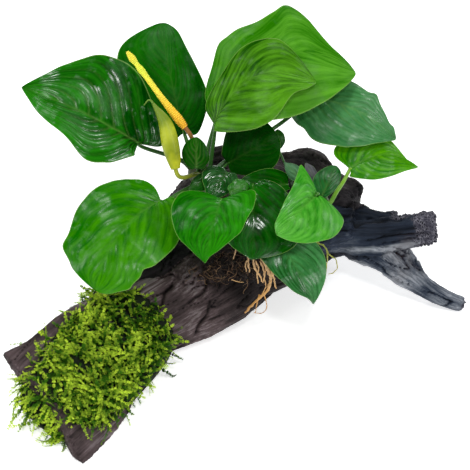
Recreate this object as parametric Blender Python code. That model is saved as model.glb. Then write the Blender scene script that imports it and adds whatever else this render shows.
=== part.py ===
"""Anubias growing on a piece of driftwood, with a patch of moss.

The wood is an arch: a broad slab comes down to the ground at the front left, the trunk
stands on its rear root, and the thin arm touches the ground at the right. A rhizome creeps
over the trunk and carries the leaves on long stems, two flower spikes and the roots.

Lengths in the tables are millimetres: +X to the right, +Y away from the front, +Z up.
"""
import math
from collections import namedtuple

import bmesh
import bpy
import numpy as np
from mathutils import Vector, noise

MM = 0.001
LAYOUT_SHIFT = Vector((-4.1, 26.3, 0.0))  # brings the middle of the plant over the origin

TOUCH_GAP = 0.45          # left between pieces that grow on or beside one another
STEM_GAP = 1.0            # from a stem's top to the underside of its blade
LEAF_THICKNESS = 1.2
LEAF_GRID = (10, 3)       # steps from base to tip, and lanes from midrib to margin
SMALL_LEAF_GRID = (6, 2)
ROW_CROWDING = 1.25       # draws a leaf's rows towards its rounded base
RIPPLE_WAVES = 9.0        # radians of the margin's ripple along a leaf
RIPPLE_OFFSET = 2.0       # radians between the ripples of the two sides
LEVEL_BEHIND = -0.03      # the lobes stay level from this share of the length behind the base

STEM_RADIUS = 1.7
SMALL_STEM_SHARE = 0.6
STEM_TAPER = 0.3
STEM_SIDES = 5
STEM_STEPS = 5
STEM_SPREAD = 0.2         # share of the sideways way to its leaf that a stem starts with
STEM_LEAN = 0.33          # share of the upward way, which is at least STEM_MIN_RISE
STEM_SET_OFF = 1.6        # from the rhizome's skin to the foot of a stem
STEM_MIN_RISE = 8.0
STEM_PULL = 0.3           # length of a stem curve's end handles, as a share of its reach
FLOWER_STEM_RADIUS = 1.5

RHIZOME_RADIUS = 7.0
RHIZOME_RINGS = 13
RHIZOME_SIDES = 10
NODE_SWELL = 0.08         # the rings where leaves have dropped off, as a share of the radius
RHIZOME_END = 0.55
RHIZOME_READINGS = 40

WOOD_VOXEL = 2.4
WOOD_SMOOTH_PASSES = 6
LIMB_RINGS = 24
LIMB_RING_POINTS = 28
GRAIN_RIDGES = 7          # ridges round a limb, as the weathered grain stands
GRAIN_DEPTH = 0.07        # of the limb's half-width
GRAIN_DRIFT = 2.0         # how far the ridges wander round the limb, in radians
LUMP_DEPTH = 0.08         # of the limb's half-width
LUMP_SCALE = 1.3
LUMP_STEP = 0.18
SAW_REACH = 300.0
SAW_DEPTH = 60.0

Leaf = namedtuple("Leaf", "name base tip face left right sweep arch droop fold ripple root small")

# A side of a leaf: how far its lobe reaches behind the base, how far out that is,
# then its half-width at the base, at 1/4, 1/2, 3/4 and 9/10 of the length.
STATIONS = (0.0, 0.25, 0.5, 0.75, 0.9)

LEAVES = (
    Leaf("leaf_far_left", (-66, 23, 116), (-147, 54, 141), (0.05, -0.50, 0.86),
         (1, 7, 12, 28, 20, 14, 6), (16, 7, 26, 44, 47, 29, 11),
         0, 8, 4, 5, 1.5, ("left", 0.05), False),
    Leaf("leaf_upper_left", (-36, 49, 102), (-51, 100, 161), (-0.05, -0.80, 0.60),
         (4, 8, 13, 27, 34, 36, 27), (3, 6, 12, 22, 19, 13, 9),
         0, 6, 4, 4, 1.0, ("left", 0.02), False),
    Leaf("leaf_top", (-13, 42, 123), (85, 67, 143), (0.05, -0.55, 0.83),
         (3, 10, 23, 51, 54, 53, 20), (0, 3, 6, 15, 18, 14, 7),
         24, 14, 6, 8, 2.5, ("left", 0.20), False),
    Leaf("leaf_upper_middle", (-14, 25, 131), (56, 46, 152), (0.0, -0.50, 0.87),
         (1, 6, 16, 31, 41, 42, 32), (1, 3, 6, 15, 14, 3, 2),
         16, 8, 5, 6, 1.5, ("left", 0.32), False),
    Leaf("leaf_right", (46, 68, 118), (110, 29, 118), (0.1, -0.50, 0.86),
         (4, 4, 15, 25, 22, 15, 6), (3, 8, 15, 25, 24, 17, 9),
         4, 8, 6, 5, 2.0, ("left", 0.28), False),
    Leaf("leaf_far_right", (80, 24, 91), (129, 30, 88), (0.1, -0.60, 0.80),
         (11, 12, 24, 26, 21, 8, 2), (0, 3, 6, 9, 8, 4, 2),
         8, 7, 4, 4, 0.8, ("right", 0.98), False),
    Leaf("leaf_left", (-50, -13, 96), (-92, -71, 67), (-0.1, -0.60, 0.79),
         (8, 6, 19, 27, 24, 18, 11), (8, 13, 31, 42, 41, 37, 40),
         -7, 10, 5, 7, 1.5, ("left", 0.36), False),
    Leaf("leaf_front", (-9, -30, 114), (-20, -70, 96), (-0.05, -0.50, 0.86),
         (6, 16, 21, 20, 18, 9, 3), (3, 16, 27, 31, 28, 20, 8),
         0, 6, 5, 5, 0.8, ("left", 0.70), False),
    Leaf("leaf_dark_middle", (12, -11, 109), (11, -56, 84), (0.05, -0.60, 0.80),
         (4, 9, 18, 29, 32, 31, 20), (3, 4, 8, 15, 18, 18, 8),
         0, 5, 5, 5, 1.0, ("left", 0.82), False),
    Leaf("leaf_heart", (55, -30, 119), (27, -56, 107), (0.1, -0.60, 0.80),
         (2, 19, 25, 28, 25, 18, 10), (7, 21, 19, 15, 12, 8, 5),
         0, 5, 4, 6, 0.6, ("right", 0.42), False),
    Leaf("leaf_low_right", (29, -36, 82), (53, -73, 59), (0.1, -0.6, 0.79),
         (3, 7, 14, 21, 22, 16, 8), (2, 7, 17, 16, 13, 8, 2),
         0, 5, 5, 4, 0.8, ("left", 0.95), False),
    Leaf("leaf_round", (-5, 24, 96), (31, 34, 112), (0.0, -0.7, 0.7),
         (1, 7, 9, 22, 24, 21, 15), (1, 5, 8, 15, 18, 16, 9),
         0, 3, 3, 3, 0.5, ("left", 0.38), True),
    Leaf("leaf_oval", (-26, 1, 113), (-26, 15, 129), (0.0, -0.75, 0.66),
         (1, 3, 5, 9, 10, 8, 5), (1, 3, 5, 9, 8, 6, 3),
         0, 2, 1, 2, 0.2, ("left", 0.12), True),
    Leaf("leaf_ruffled", (-5, 5, 106), (-17, -18, 103), (0.0, -0.55, 0.83),
         (2, 5, 8, 12, 11, 7, 3), (2, 6, 9, 14, 13, 8, 4),
         0, 3, 3, 3, 1.4, ("left", 0.45), True),
    Leaf("leaf_small_left", (-17, 4, 101), (-31, -5, 99), (-0.1, -0.55, 0.82),
         (1, 3, 4, 6, 6, 4, 2), (1, 3, 4, 6, 6, 4, 2),
         0, 2, 2, 2, 0.5, ("left", 0.20), True),
    Leaf("leaf_middle_under", (36, 1, 98), (-1, -4, 97), (0.0, -0.6, 0.80),
         (1, 3, 4, 6, 6, 5, 3), (1, 4, 8, 12, 12, 9, 5),
         0, 3, 3, 2, 0.6, ("right", 0.20), True),
    Leaf("leaf_small_grey", (45, -3, 106), (33, 7, 113), (-0.2, -0.6, 0.77),
         (1, 2, 3, 5, 5, 3, 1), (1, 2, 3, 5, 5, 3, 1),
         0, 1, 1, 2, 0.2, ("right", 0.50), True),
    Leaf("leaf_small_right", (59, -9, 97), (69, 6, 111), (0.0, -0.7, 0.7),
         (1, 3, 5, 10, 10, 7, 4), (1, 2, 3, 6, 7, 6, 4),
         0, 2, 2, 2, 0.4, ("right", 0.75), True),
    Leaf("leaf_tucked", (-3, -20, 111), (9, -14, 113), (0.0, -0.6, 0.8),
         (1, 2, 4, 5, 6, 5, 3), (1, 2, 4, 5, 5, 4, 3),
         0, 1, 1, 1, 0.2, ("left", 0.68), True),
    Leaf("leaf_behind", (30, 43, 94), (30, 52, 103), (0.0, -0.7, 0.7),
         (1, 2, 3, 5, 5, 4, 2), (1, 2, 3, 5, 5, 4, 2),
         0, 1, 1, 1, 0.2, ("right", 0.58), True),
    Leaf("leaf_mauve", (56, 2, 94), (48, 14, 106), (0.3, -0.6, 0.75),
         (1, 2, 3, 4, 4, 3, 1), (1, 2, 3, 5, 5, 4, 2),
         0, 1, 1, 1, 0.2, ("right", 0.88), True),
)

# The points that a stem passes where it bends round its neighbours to its leaf.
STEM_TURNS = {"leaf_far_right": ((65, -1, 82), (70, 8, 84), (75, 18, 84))}
TURNED_STEM_STEPS = 9

# Where the rhizome runs over the wood: the main run and the branch to the right.
RHIZOME_LEFT = ((-30, 36, 80), (-18, 16, 83), (-2, -8, 81), (18, -34, 72))
RHIZOME_RIGHT = ((14, -12, 81), (38, 0, 82), (62, 8, 78))

# A wood limb's station: its middle (x, y, z), half-width and half-height there.
# "across" is the direction of the half-width.
Limb = namedtuple("Limb", "across stations")

TRUNK_LIMBS = (
    Limb((0.0, 1.0, 0.0), (
        (-50, -16, 26, 18, 16), (-38, -12, 31, 30, 25), (-15, 8, 37, 52, 35),
        (12, 18, 40, 54, 38), (36, 22, 42, 48, 36), (62, 24, 44, 38, 30), (86, 20, 45, 26, 22))),
    Limb((1.0, 0.0, 0.0), (
        (10, 30, 36, 40, 30), (14, 44, 20, 36, 24), (16, 50, 2, 30, 20))),
    Limb((0.0, 1.0, 0.0), (
        (70, 24, 52, 12, 12), (82, 34, 60, 9, 9), (88, 38, 65, 5, 5))),
)
SLAB = Limb((0.56, -0.70, -0.44), (
    (40, 18, 38, 28, 18), (15, 6, 37, 32, 20), (-17, -20, 28, 38, 18), (-51, -38, 22, 36, 15),
    (-75, -60, 21, 32, 13), (-95, -87, 20, 38, 12), (-112, -114, 19, 44, 10),
    (-125, -130, 20, 48, 7)))
THICK_ARM = Limb((0.0, 0.8, 0.6), (
    (52, 8, 42, 13, 16), (80, 5, 42, 12, 12), (104, 7, 43, 12, 12),
    (124, 10, 44, 12, 12), (142, 12, 45, 12, 12)))
SHORT_ARM = Limb((0.0, 1.0, 0.0), (
    (60, 27, 46, 14, 13), (84, 25, 45, 11, 9), (102, 22, 45, 6, 6), (117, 22, 47, 5, 5)))
THIN_ARM = Limb((0.4, 0.8, -0.3), (
    (84, 13, 38, 22, 15), (104, 4, 32, 20, 13), (120, -6, 22, 15, 10),
    (136, -16, 12, 9, 8), (150, -21, 7, 8, 7), (163, -25, 5, 5, 6)))
REAR_RIDGE = Limb((0.0, 0.8, -0.6), (
    (-20, 60, 66, 8, 8), (-6, 60, 68, 11, 10), (14, 56, 64, 15, 13),
    (34, 55, 62, 14, 12), (53, 56, 65, 12, 12), (66, 49, 60, 10, 9), (80, 38, 54, 7, 7)))

# Triangles that each piece of wood is thinned to before it is fitted to its neighbours.
TRUNK_TRIANGLES = 720
OTHER_WOOD = (
    ("driftwood_slab", SLAB, 480), ("driftwood_rear_ridge", REAR_RIDGE, 220),
    ("driftwood_thick_arm", THICK_ARM, 240), ("driftwood_short_arm", SHORT_ARM, 150),
    ("driftwood_thin_arm", THIN_ARM, 260))

MOSS = {
    "middle": (-88, -89, 24), "along": (0.58, 0.81, 0.06), "across": (0.56, -0.70, -0.44),
    "half_length": 70, "half_width": 41, "squareness": 3.0,
    "height": 15.0, "depth": 14.0,      # of the shoots' tips above the middle, and the base below
    "rings": 6, "sides": 22, "roundness": 0.55, "top_size": 0.12,
    "lump": 0.07, "lump_scale": 2.1,
}

# The two flower spikes, as paths with a radius at each ring.
SPADIX_PATH = ((-34, 20, 133), (-48, 31, 147), (-60, 41, 160), (-72, 50, 173))
SPADIX_RADII = (2.7, 3.5, 3.3, 2.9, 2.6, 2.4, 2.3, 2.3, 2.3, 2.7, 2.1, 2.8, 1.5)
SPATHE_PATH = ((-40, -1, 114), (-43, 7, 125), (-47, 18, 138), (-55, 27, 148))
SPATHE_RADII = (3.2, 4.3, 5.1, 5.6, 5.7, 5.3, 4.5, 3.3, 1.9, 0.8)
FLOWER_SIDES = 10

Root = namedtuple("Root", "name radius points")

ROOTS = (
    Root("root_main", 1.7, ((18, -42, 65), (22, -43, 58), (24, -44, 52), (21, -45, 39),
                            (15, -46, 33), (6, -48, 22))),
    Root("root_left", 1.0, ((9, -42, 67), (8, -44, 63), (8, -44, 58))),
    Root("root_middle", 1.1, ((12, -43, 65), (15, -44, 59), (17, -45, 53), (17, -47, 46))),
    Root("root_right", 1.0, ((25, -45, 58), (28, -46, 53), (30, -46, 46))),
    Root("root_curl", 1.0, ((56, -29, 71), (61, -31, 68), (64, -33, 64), (62, -36, 56))),
)
ROOT_TAPER = 0.5
ROOT_SIDES = 6

# Each material's colour and roughness.
WOOD = ((0.035, 0.033, 0.038), 0.75)
RHIZOME = ((0.08, 0.06, 0.04), 0.7)
MOSS_SHOOTS = ((0.16, 0.27, 0.02), 0.9)
LEAF_GREEN = ((0.06, 0.25, 0.04), 0.3)
LEAF_BRIGHT = ((0.12, 0.38, 0.04), 0.3)
LEAF_STEM = ((0.12, 0.25, 0.04), 0.4)
SPADIX = ((0.75, 0.55, 0.03), 0.55)
SPATHE = ((0.5, 0.55, 0.03), 0.5)
FLOWER_STEM = ((0.3, 0.35, 0.05), 0.45)
ROOT = ((0.55, 0.33, 0.12), 0.6)
CUTTER = ((1.0, 1.0, 1.0), 0.5)
BRIGHT_LEAVES = ("leaf_heart", "leaf_left", "leaf_far_right", "leaf_top", "leaf_front")


def clear_scene():
    for old in list(bpy.data.objects):
        bpy.data.objects.remove(old, do_unlink=True)


def material(name, finish):
    """One Principled material for each piece."""
    colour, roughness = finish
    made = bpy.data.materials.new(name)
    made.use_nodes = True
    shader = made.node_tree.nodes["Principled BSDF"]
    shader.inputs["Base Color"].default_value = (*colour, 1.0)
    shader.inputs["Roughness"].default_value = roughness
    shader.inputs["Metallic"].default_value = 0.0
    return made


def add_object(name, points, faces, finish):
    """Makes a mesh object from points in layout millimetres."""
    mesh = bpy.data.meshes.new(name)
    mesh.from_pydata([(Vector(p) + LAYOUT_SHIFT) * MM for p in points], [], faces)
    mesh.validate()
    mesh.shade_smooth()
    mesh.materials.append(material(name, finish))
    made = bpy.data.objects.new(name, mesh)
    bpy.context.scene.collection.objects.link(made)
    return made


def apply_modifiers(target):
    """Turns an object's modifiers into its plain mesh."""
    graph = bpy.context.evaluated_depsgraph_get()
    made = bpy.data.meshes.new_from_object(target.evaluated_get(graph))
    target.modifiers.clear()
    target.data = made


def cut_away(target, cutter):
    """Takes the cutter's space out of the target."""
    step = target.modifiers.new("cut", "BOOLEAN")
    step.operation = "DIFFERENCE"
    step.solver = "EXACT"
    step.object = cutter
    apply_modifiers(target)


def drop_offcuts(piece):
    """Keeps only the largest body of a piece that was cut."""
    work = bmesh.new()
    work.from_mesh(piece.data)
    left = set(work.verts)
    bodies = []
    while left:
        body = set()
        front = [left.pop()]
        while front:
            vert = front.pop()
            body.add(vert)
            for edge in vert.link_edges:
                other = edge.other_vert(vert)
                if other in left:
                    left.remove(other)
                    front.append(other)
        bodies.append(body)
    largest = max(bodies, key=len)
    spare = [v for v in work.verts if v not in largest]
    bmesh.ops.delete(work, geom=spare, context="VERTS")
    work.to_mesh(piece.data)
    work.free()


def swollen_copy(source, amount):
    """A copy pushed out along its normals by some millimetres, to cut a close seat with."""
    grown = source.copy()
    grown.data = source.data.copy()
    bpy.context.scene.collection.objects.link(grown)
    normals = [v.normal.copy() for v in grown.data.vertices]
    for vertex, normal in zip(grown.data.vertices, normals):
        vertex.co += normal * amount * MM
    return grown


def discard(target):
    bpy.data.objects.remove(target, do_unlink=True)


def smooth_path(points, count):
    """Points read at even steps from a Catmull-Rom curve through the given ones."""
    rows = [np.array(p, dtype=float) for p in points]
    rows = [2 * rows[0] - rows[1]] + rows + [2 * rows[-1] - rows[-2]]
    spans = len(points) - 1
    result = []
    for i in range(count):
        along = i * spans / (count - 1)
        k = min(int(along), spans - 1)
        t = along - k
        a, b, c, d = rows[k:k + 4]
        result.append(0.5 * (2 * b + (c - a) * t + (2 * a - 5 * b + 4 * c - d) * t * t
                             + (3 * b - a - 3 * c + d) * t ** 3))
    return result


def tube(path, radii, sides):
    """A closed tube along a path: a ring at each point, with flat ends."""
    path = [Vector(p) for p in path]
    points = []
    side = None
    for i, middle in enumerate(path):
        ahead = path[min(i + 1, len(path) - 1)] - path[max(i - 1, 0)]
        ahead.normalize()
        if side is None:
            side = ahead.orthogonal()
        side = (side - ahead * side.dot(ahead)).normalized()
        other = ahead.cross(side)
        for j in range(sides):
            turn = 2 * math.pi * j / sides
            points.append(middle + (side * math.cos(turn) + other * math.sin(turn)) * radii[i])
    faces = ring_faces(len(path), sides)
    return points, faces


def ring_faces(rings, sides):
    """Faces between rings of points, and one face over each end."""
    faces = []
    for i in range(rings - 1):
        for j in range(sides):
            a = i * sides + j
            b = i * sides + (j + 1) % sides
            faces.append((a, b, b + sides, a + sides))
    faces.append(tuple(reversed(range(sides))))
    last = (rings - 1) * sides
    faces.append(tuple(range(last, last + sides)))
    return faces


def limb_shell(limb):
    """A limb of wood: oval rings with ridges of grain that run along it."""
    middles = smooth_path([s[:3] for s in limb.stations], LIMB_RINGS)
    sizes = smooth_path([s[3:] for s in limb.stations], LIMB_RINGS)
    across = Vector(limb.across).normalized()
    points = []
    for i, middle in enumerate(middles):
        ahead = Vector(middles[min(i + 1, LIMB_RINGS - 1)] - middles[max(i - 1, 0)])
        ahead.normalize()
        side = (across - ahead * across.dot(ahead)).normalized()
        other = ahead.cross(side)
        half_width, half_height = sizes[i]
        for j in range(LIMB_RING_POINTS):
            turn = 2 * math.pi * j / LIMB_RING_POINTS
            x, y = math.cos(turn), math.sin(turn)
            lump = noise.noise(Vector((i * LUMP_STEP, x * LUMP_SCALE, y * LUMP_SCALE)))
            ridge = math.cos(GRAIN_RIDGES * turn + GRAIN_DRIFT * lump)
            size = 1 + GRAIN_DEPTH * ridge + LUMP_DEPTH * lump
            points.append(Vector(middle) + side * (x * half_width * size)
                          + other * (y * half_height * size))
    return points, ring_faces(LIMB_RINGS, LIMB_RING_POINTS)


def join_shells(shells):
    """Puts several shells in one list of points and faces."""
    points, faces = [], []
    for more_points, more_faces in shells:
        start = len(points)
        points += more_points
        faces += [tuple(i + start for i in face) for face in more_faces]
    return points, faces


def wood_piece(name, limbs, triangles):
    """Melts limbs into one closed skin, then thins its mesh."""
    points, faces = join_shells([limb_shell(limb) for limb in limbs])
    piece = add_object(name, points, faces, WOOD)
    skin = piece.modifiers.new("skin", "REMESH")
    skin.mode = "VOXEL"
    skin.voxel_size = WOOD_VOXEL * MM
    soft = piece.modifiers.new("soft", "SMOOTH")
    soft.iterations = WOOD_SMOOTH_PASSES
    soft.factor = 0.5
    apply_modifiers(piece)
    thin = piece.modifiers.new("thin", "DECIMATE")
    piece.data.calc_loop_triangles()
    thin.ratio = triangles / len(piece.data.loop_triangles)
    apply_modifiers(piece)
    return piece


def ground_cut(piece):
    """Saws off what would reach below the ground, so that the wood stands flat."""
    corners = ((-1, -1), (1, -1), (1, 1), (-1, 1))
    low = [(x * SAW_REACH, y * SAW_REACH, -SAW_DEPTH) for x, y in corners]
    high = [(x * SAW_REACH, y * SAW_REACH, 0.0) for x, y in corners]
    faces = [(3, 2, 1, 0), (4, 5, 6, 7), (0, 1, 5, 4), (1, 2, 6, 5), (2, 3, 7, 6), (3, 0, 4, 7)]
    saw = add_object("saw", low + high, faces, CUTTER)
    cut_away(piece, saw)
    discard(saw)


def leaf_outline(leaf, side, steps):
    """One margin of a leaf from its base to its tip, as (along, outward) pairs."""
    back, back_out, *widths = side
    length = (Vector(leaf.tip) - Vector(leaf.base)).length
    control = [(0.0, 0.0, 0.0), (-back, back_out, 0.0)]
    control += [(length * f, w, 0.0) for f, w in zip(STATIONS, widths)]
    control.append((length, 0.0, 0.0))
    return smooth_path(control, steps + 1)


def leaf_axes(leaf):
    """A leaf's length, its way from base to tip, and the normal of its upper face."""
    ahead = Vector(leaf.tip) - Vector(leaf.base)
    length = ahead.length
    ahead.normalize()
    face = Vector(leaf.face)
    up = (face - ahead * face.dot(ahead)).normalized()
    return length, ahead, up


def leaf_grid(leaf, steps, lanes):
    """Points of a leaf's middle surface, in rows from the base to the tip."""
    base = Vector(leaf.base)
    length, ahead, up = leaf_axes(leaf)
    leftward = up.cross(ahead)
    margins = (leaf_outline(leaf, leaf.left, steps), leaf_outline(leaf, leaf.right, steps))
    widest = max(max(leaf.left[2:]), max(leaf.right[2:]))

    def place(along, out):
        part = along / length
        middle = leaf.sweep * 4 * part * (1 - part) if 0 < part < 1 else 0.0
        from_rib = abs(out - middle) / widest
        held = max(part, LEVEL_BEHIND)
        wave = RIPPLE_WAVES * part + (RIPPLE_OFFSET if out > middle else 0.0)
        rise = leaf.arch * 4 * held * (1 - held) - leaf.droop * part * part
        rise -= leaf.fold * from_rib * from_rib
        rise += leaf.ripple * from_rib * math.sin(wave)
        return base + ahead * along + leftward * out + up * rise

    rows = []
    for i in range(steps + 1):
        part = (i / steps) ** ROW_CROWDING
        middle = leaf.sweep * 4 * part * (1 - part)
        row = []
        for lane in range(-lanes, lanes + 1):
            share = abs(lane) / lanes
            margin = margins[0 if lane > 0 else 1][i]
            sign = 1 if lane > 0 else -1
            along = length * part * (1 - share) + margin[0] * share
            out = middle * (1 - share) + sign * margin[1] * share
            row.append(place(along, out))
        rows.append(row)
    return rows


def leaf_blade(leaf):
    """A thin closed blade: an upper and a lower skin joined round the margin."""
    steps, lanes = SMALL_LEAF_GRID if leaf.small else LEAF_GRID
    rows = leaf_grid(leaf, steps, lanes)
    up = leaf_axes(leaf)[2]
    across = 2 * lanes + 1
    points = []
    for side in (0.5, -0.5):
        offset = up * LEAF_THICKNESS * side
        points.append(rows[0][lanes] + offset)
        for row in rows[1:-1]:
            points += [p + offset for p in row]
        points.append(rows[-1][lanes] + offset)
    count = len(points) // 2
    faces = []

    def index(i, j):
        if i == 0:
            return 0
        if i == steps:
            return count - 1
        return 1 + (i - 1) * across + j

    for i in range(steps):
        for j in range(across - 1):
            corner = [index(i, j), index(i, j + 1), index(i + 1, j + 1), index(i + 1, j)]
            face = tuple(dict.fromkeys(corner))
            faces.append(tuple(reversed(face)))
            faces.append(tuple(k + count for k in face))
        for j in (0, across - 1):
            a, b = index(i, j), index(i + 1, j)
            rim = (a, b, b + count, a + count)
            faces.append(rim if j else tuple(reversed(rim)))
    finish = LEAF_BRIGHT if leaf.name in BRIGHT_LEAVES else LEAF_GREEN
    return add_object(leaf.name, points, faces, finish)


def rhizome_point(branch, part):
    """A point on the rhizome's middle line, at a share of the way along a branch."""
    route = RHIZOME_LEFT if branch == "left" else RHIZOME_RIGHT
    path = smooth_path(route, RHIZOME_READINGS + 1)
    return Vector(path[round(part * RHIZOME_READINGS)])


def bezier(a, b, c, d, count):
    """Points along a cubic curve."""
    result = []
    for i in range(count):
        t = i / (count - 1)
        s = 1 - t
        result.append(a * s ** 3 + b * 3 * s * s * t + c * 3 * s * t * t + d * t ** 3)
    return result


def stem_path(root, end, under):
    """From beside the rhizome up to just under the blade."""
    centre = rhizome_point(*root)
    rise = end - centre
    start_way = Vector((rise.x * STEM_SPREAD, rise.y * STEM_SPREAD,
                        max(rise.z * STEM_LEAN, STEM_MIN_RISE))).normalized()
    start = centre + start_way * (RHIZOME_RADIUS + STEM_SET_OFF)
    stop = end - under * (LEAF_THICKNESS / 2 + STEM_GAP)
    pull = (stop - start).length * STEM_PULL
    return bezier(start, start + start_way * pull, stop - under * pull, stop, STEM_STEPS + 1)


def leaf_stem(leaf):
    """The stem that carries a blade, thinner towards the blade."""
    up = leaf_axes(leaf)[2]
    path = stem_path(leaf.root, Vector(leaf.base), up)
    if leaf.name in STEM_TURNS:
        path = smooth_path((*STEM_TURNS[leaf.name], path[-1]), TURNED_STEM_STEPS + 1)
    radius = STEM_RADIUS * (SMALL_STEM_SHARE if leaf.small else 1.0)
    last = len(path) - 1
    radii = [radius * (1.0 - STEM_TAPER * i / last) for i in range(last + 1)]
    points, faces = tube(path, radii, STEM_SIDES)
    name = leaf.name.replace("leaf", "stem", 1)
    return add_object(name, points, faces, LEAF_STEM)


def build_wood():
    """The trunk, and the other limbs cut to seat against it and one another.

    Returns the swollen copies that later pieces are cut with.
    """
    trunk = wood_piece("driftwood_trunk", TRUNK_LIMBS, TRUNK_TRIANGLES)
    ground_cut(trunk)
    taken = [swollen_copy(trunk, TOUCH_GAP)]
    for name, limb, triangles in OTHER_WOOD:
        piece = wood_piece(name, (limb,), triangles)
        ground_cut(piece)
        grown = swollen_copy(piece, TOUCH_GAP)
        for cutter in taken:
            cut_away(piece, cutter)
        drop_offcuts(piece)
        taken.append(grown)
    return taken


def build_rhizome(wood_cutters):
    """The two runs of the creeping stem, ringed where old leaves have dropped off."""
    grown = []
    for name, route in (("rhizome_main", RHIZOME_LEFT), ("rhizome_branch", RHIZOME_RIGHT)):
        path = smooth_path(route, RHIZOME_RINGS)
        radii = [RHIZOME_RADIUS * (1 - NODE_SWELL * (1 - (-1) ** i)) for i in range(RHIZOME_RINGS)]
        radii[0] = RHIZOME_RADIUS * RHIZOME_END
        radii[-1] = radii[0]
        points, faces = tube(path, radii, RHIZOME_SIDES)
        piece = add_object(name, points, faces, RHIZOME)
        next_cutter = swollen_copy(piece, TOUCH_GAP)
        for cutter in wood_cutters + grown:
            cut_away(piece, cutter)
        drop_offcuts(piece)
        grown.append(next_cutter)
    return grown


def build_moss(wood_cutters):
    """A cushion over the slab, as high as the tips of the shoots."""
    rings, sides = MOSS["rings"], MOSS["sides"]
    middle = Vector(MOSS["middle"])
    along = Vector(MOSS["along"]).normalized()
    across = Vector(MOSS["across"])
    across = (across - along * across.dot(along)).normalized()
    up = across.cross(along)
    if up.z < 0:
        up = -up
    power = 2 / MOSS["squareness"]
    points = []
    for i in range(rings):
        level = i / (rings - 1)
        size = max(math.cos(level * math.pi / 2) ** MOSS["roundness"], MOSS["top_size"])
        rise = math.sin(level * math.pi / 2)
        height = rise * (MOSS["height"] + MOSS["depth"]) - MOSS["depth"]
        for j in range(sides):
            turn = 2 * math.pi * j / sides
            x = math.copysign(abs(math.cos(turn)) ** power, math.cos(turn))
            y = math.copysign(abs(math.sin(turn)) ** power, math.sin(turn))
            spot = Vector((x * MOSS["lump_scale"], y * MOSS["lump_scale"], level * 2))
            lump = 1 + MOSS["lump"] * noise.noise(spot)
            points.append(middle + along * (x * MOSS["half_length"] * size * lump)
                          + across * (y * MOSS["half_width"] * size * lump)
                          + up * (height * lump))
    faces = ring_faces(rings, sides)
    if across.cross(up).dot(along) > 0:
        faces = [tuple(reversed(f)) for f in faces]
    moss = add_object("moss_patch", points, faces, MOSS_SHOOTS)
    for cutter in wood_cutters:
        cut_away(moss, cutter)
    ground_cut(moss)
    drop_offcuts(moss)


def build_flowers():
    """The open spike with its bare spadix, and the closed one wrapped in its spathe."""
    spadix = smooth_path(SPADIX_PATH, len(SPADIX_RADII))
    points, faces = tube(spadix, SPADIX_RADII, FLOWER_SIDES)
    add_object("flower_open_spadix", points, faces, SPADIX)
    spathe = smooth_path(SPATHE_PATH, len(SPATHE_RADII))
    points, faces = tube(spathe, SPATHE_RADII, FLOWER_SIDES)
    add_object("flower_closed_spathe", points, faces, SPATHE)
    for name, root, path in (("flower_open_stem", ("left", 0.10), spadix),
                             ("flower_closed_stem", ("left", 0.26), spathe)):
        foot = Vector(path[0])
        way = (Vector(path[1]) - foot).normalized()
        route = stem_path(root, foot, way)
        points, faces = tube(route, [FLOWER_STEM_RADIUS] * len(route), STEM_SIDES)
        add_object(name, points, faces, FLOWER_STEM)


def build_roots():
    """The stout roots that hang in front of the wood, each thinner towards its tip."""
    for root in ROOTS:
        count = 3 * len(root.points) - 2
        path = smooth_path(root.points, count)
        radii = [root.radius * (1 - ROOT_TAPER * i / count) for i in range(count)]
        points, faces = tube(path, radii, ROOT_SIDES)
        add_object(root.name, points, faces, ROOT)


def main():
    clear_scene()
    cutters = build_wood()
    rhizome_cutters = build_rhizome(cutters)
    build_moss(cutters)
    for leaf in LEAVES:
        leaf_blade(leaf)
        leaf_stem(leaf)
    build_flowers()
    build_roots()
    for cutter in cutters + rhizome_cutters:
        discard(cutter)


main()
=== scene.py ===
"""The looks of an anubias on driftwood: leaves, wood, moss, flowers and roots, and the studio.

Lengths in the tables are millimetres in the plant's own layout: +X to the right, +Y away from
the front, +Z up. LAYOUT_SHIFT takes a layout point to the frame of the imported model.
"""
import math
from collections import namedtuple

import bmesh
import bpy
import numpy as np
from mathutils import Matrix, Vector, noise


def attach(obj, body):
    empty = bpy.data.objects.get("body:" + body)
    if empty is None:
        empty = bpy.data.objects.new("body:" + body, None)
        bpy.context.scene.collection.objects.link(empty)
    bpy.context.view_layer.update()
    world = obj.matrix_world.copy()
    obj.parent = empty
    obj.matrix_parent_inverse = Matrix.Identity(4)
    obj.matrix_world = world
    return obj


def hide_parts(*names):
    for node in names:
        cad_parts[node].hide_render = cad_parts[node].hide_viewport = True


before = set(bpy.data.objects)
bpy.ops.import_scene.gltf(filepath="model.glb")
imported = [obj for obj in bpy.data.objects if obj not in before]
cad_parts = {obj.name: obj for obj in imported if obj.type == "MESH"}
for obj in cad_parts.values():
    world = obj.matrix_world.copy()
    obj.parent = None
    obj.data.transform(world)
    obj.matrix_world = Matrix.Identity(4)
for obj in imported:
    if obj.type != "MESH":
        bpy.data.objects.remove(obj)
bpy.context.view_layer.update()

MM = 0.001
LAYOUT_SHIFT = Vector((-4.1, 26.3, 0.0))
MERGE_DISTANCE = 0.01 * MM
GROUND_GAP = 0.1                     # left below moss and roots
TUBE_CAP = 0.6                       # how far a tube's end stands out, as a share of its radius

# Camera and studio

VIEW_CENTRE = (0.0, 0.0, 50.0)       # layout point in the middle of the photograph
VIEW_DISTANCE = 1200.0
VIEW_ELEVATION = 45.0                # degrees above the horizon
VIEW_WIDTH = 329.0                   # what the frame takes in at the view's centre
VIEW_SHARE = 0.7071                  # of a length that runs up or back, as the view shows it
SENSOR_WIDTH = 36.0
WORLD_LEVEL = 0.22
FLOOR_GLOW = 0.60
FLOOR_SIZE = 3.0                     # metres from its middle to each edge
FLOOR_HEIGHT = -0.0005               # metres, just below the wood
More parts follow.
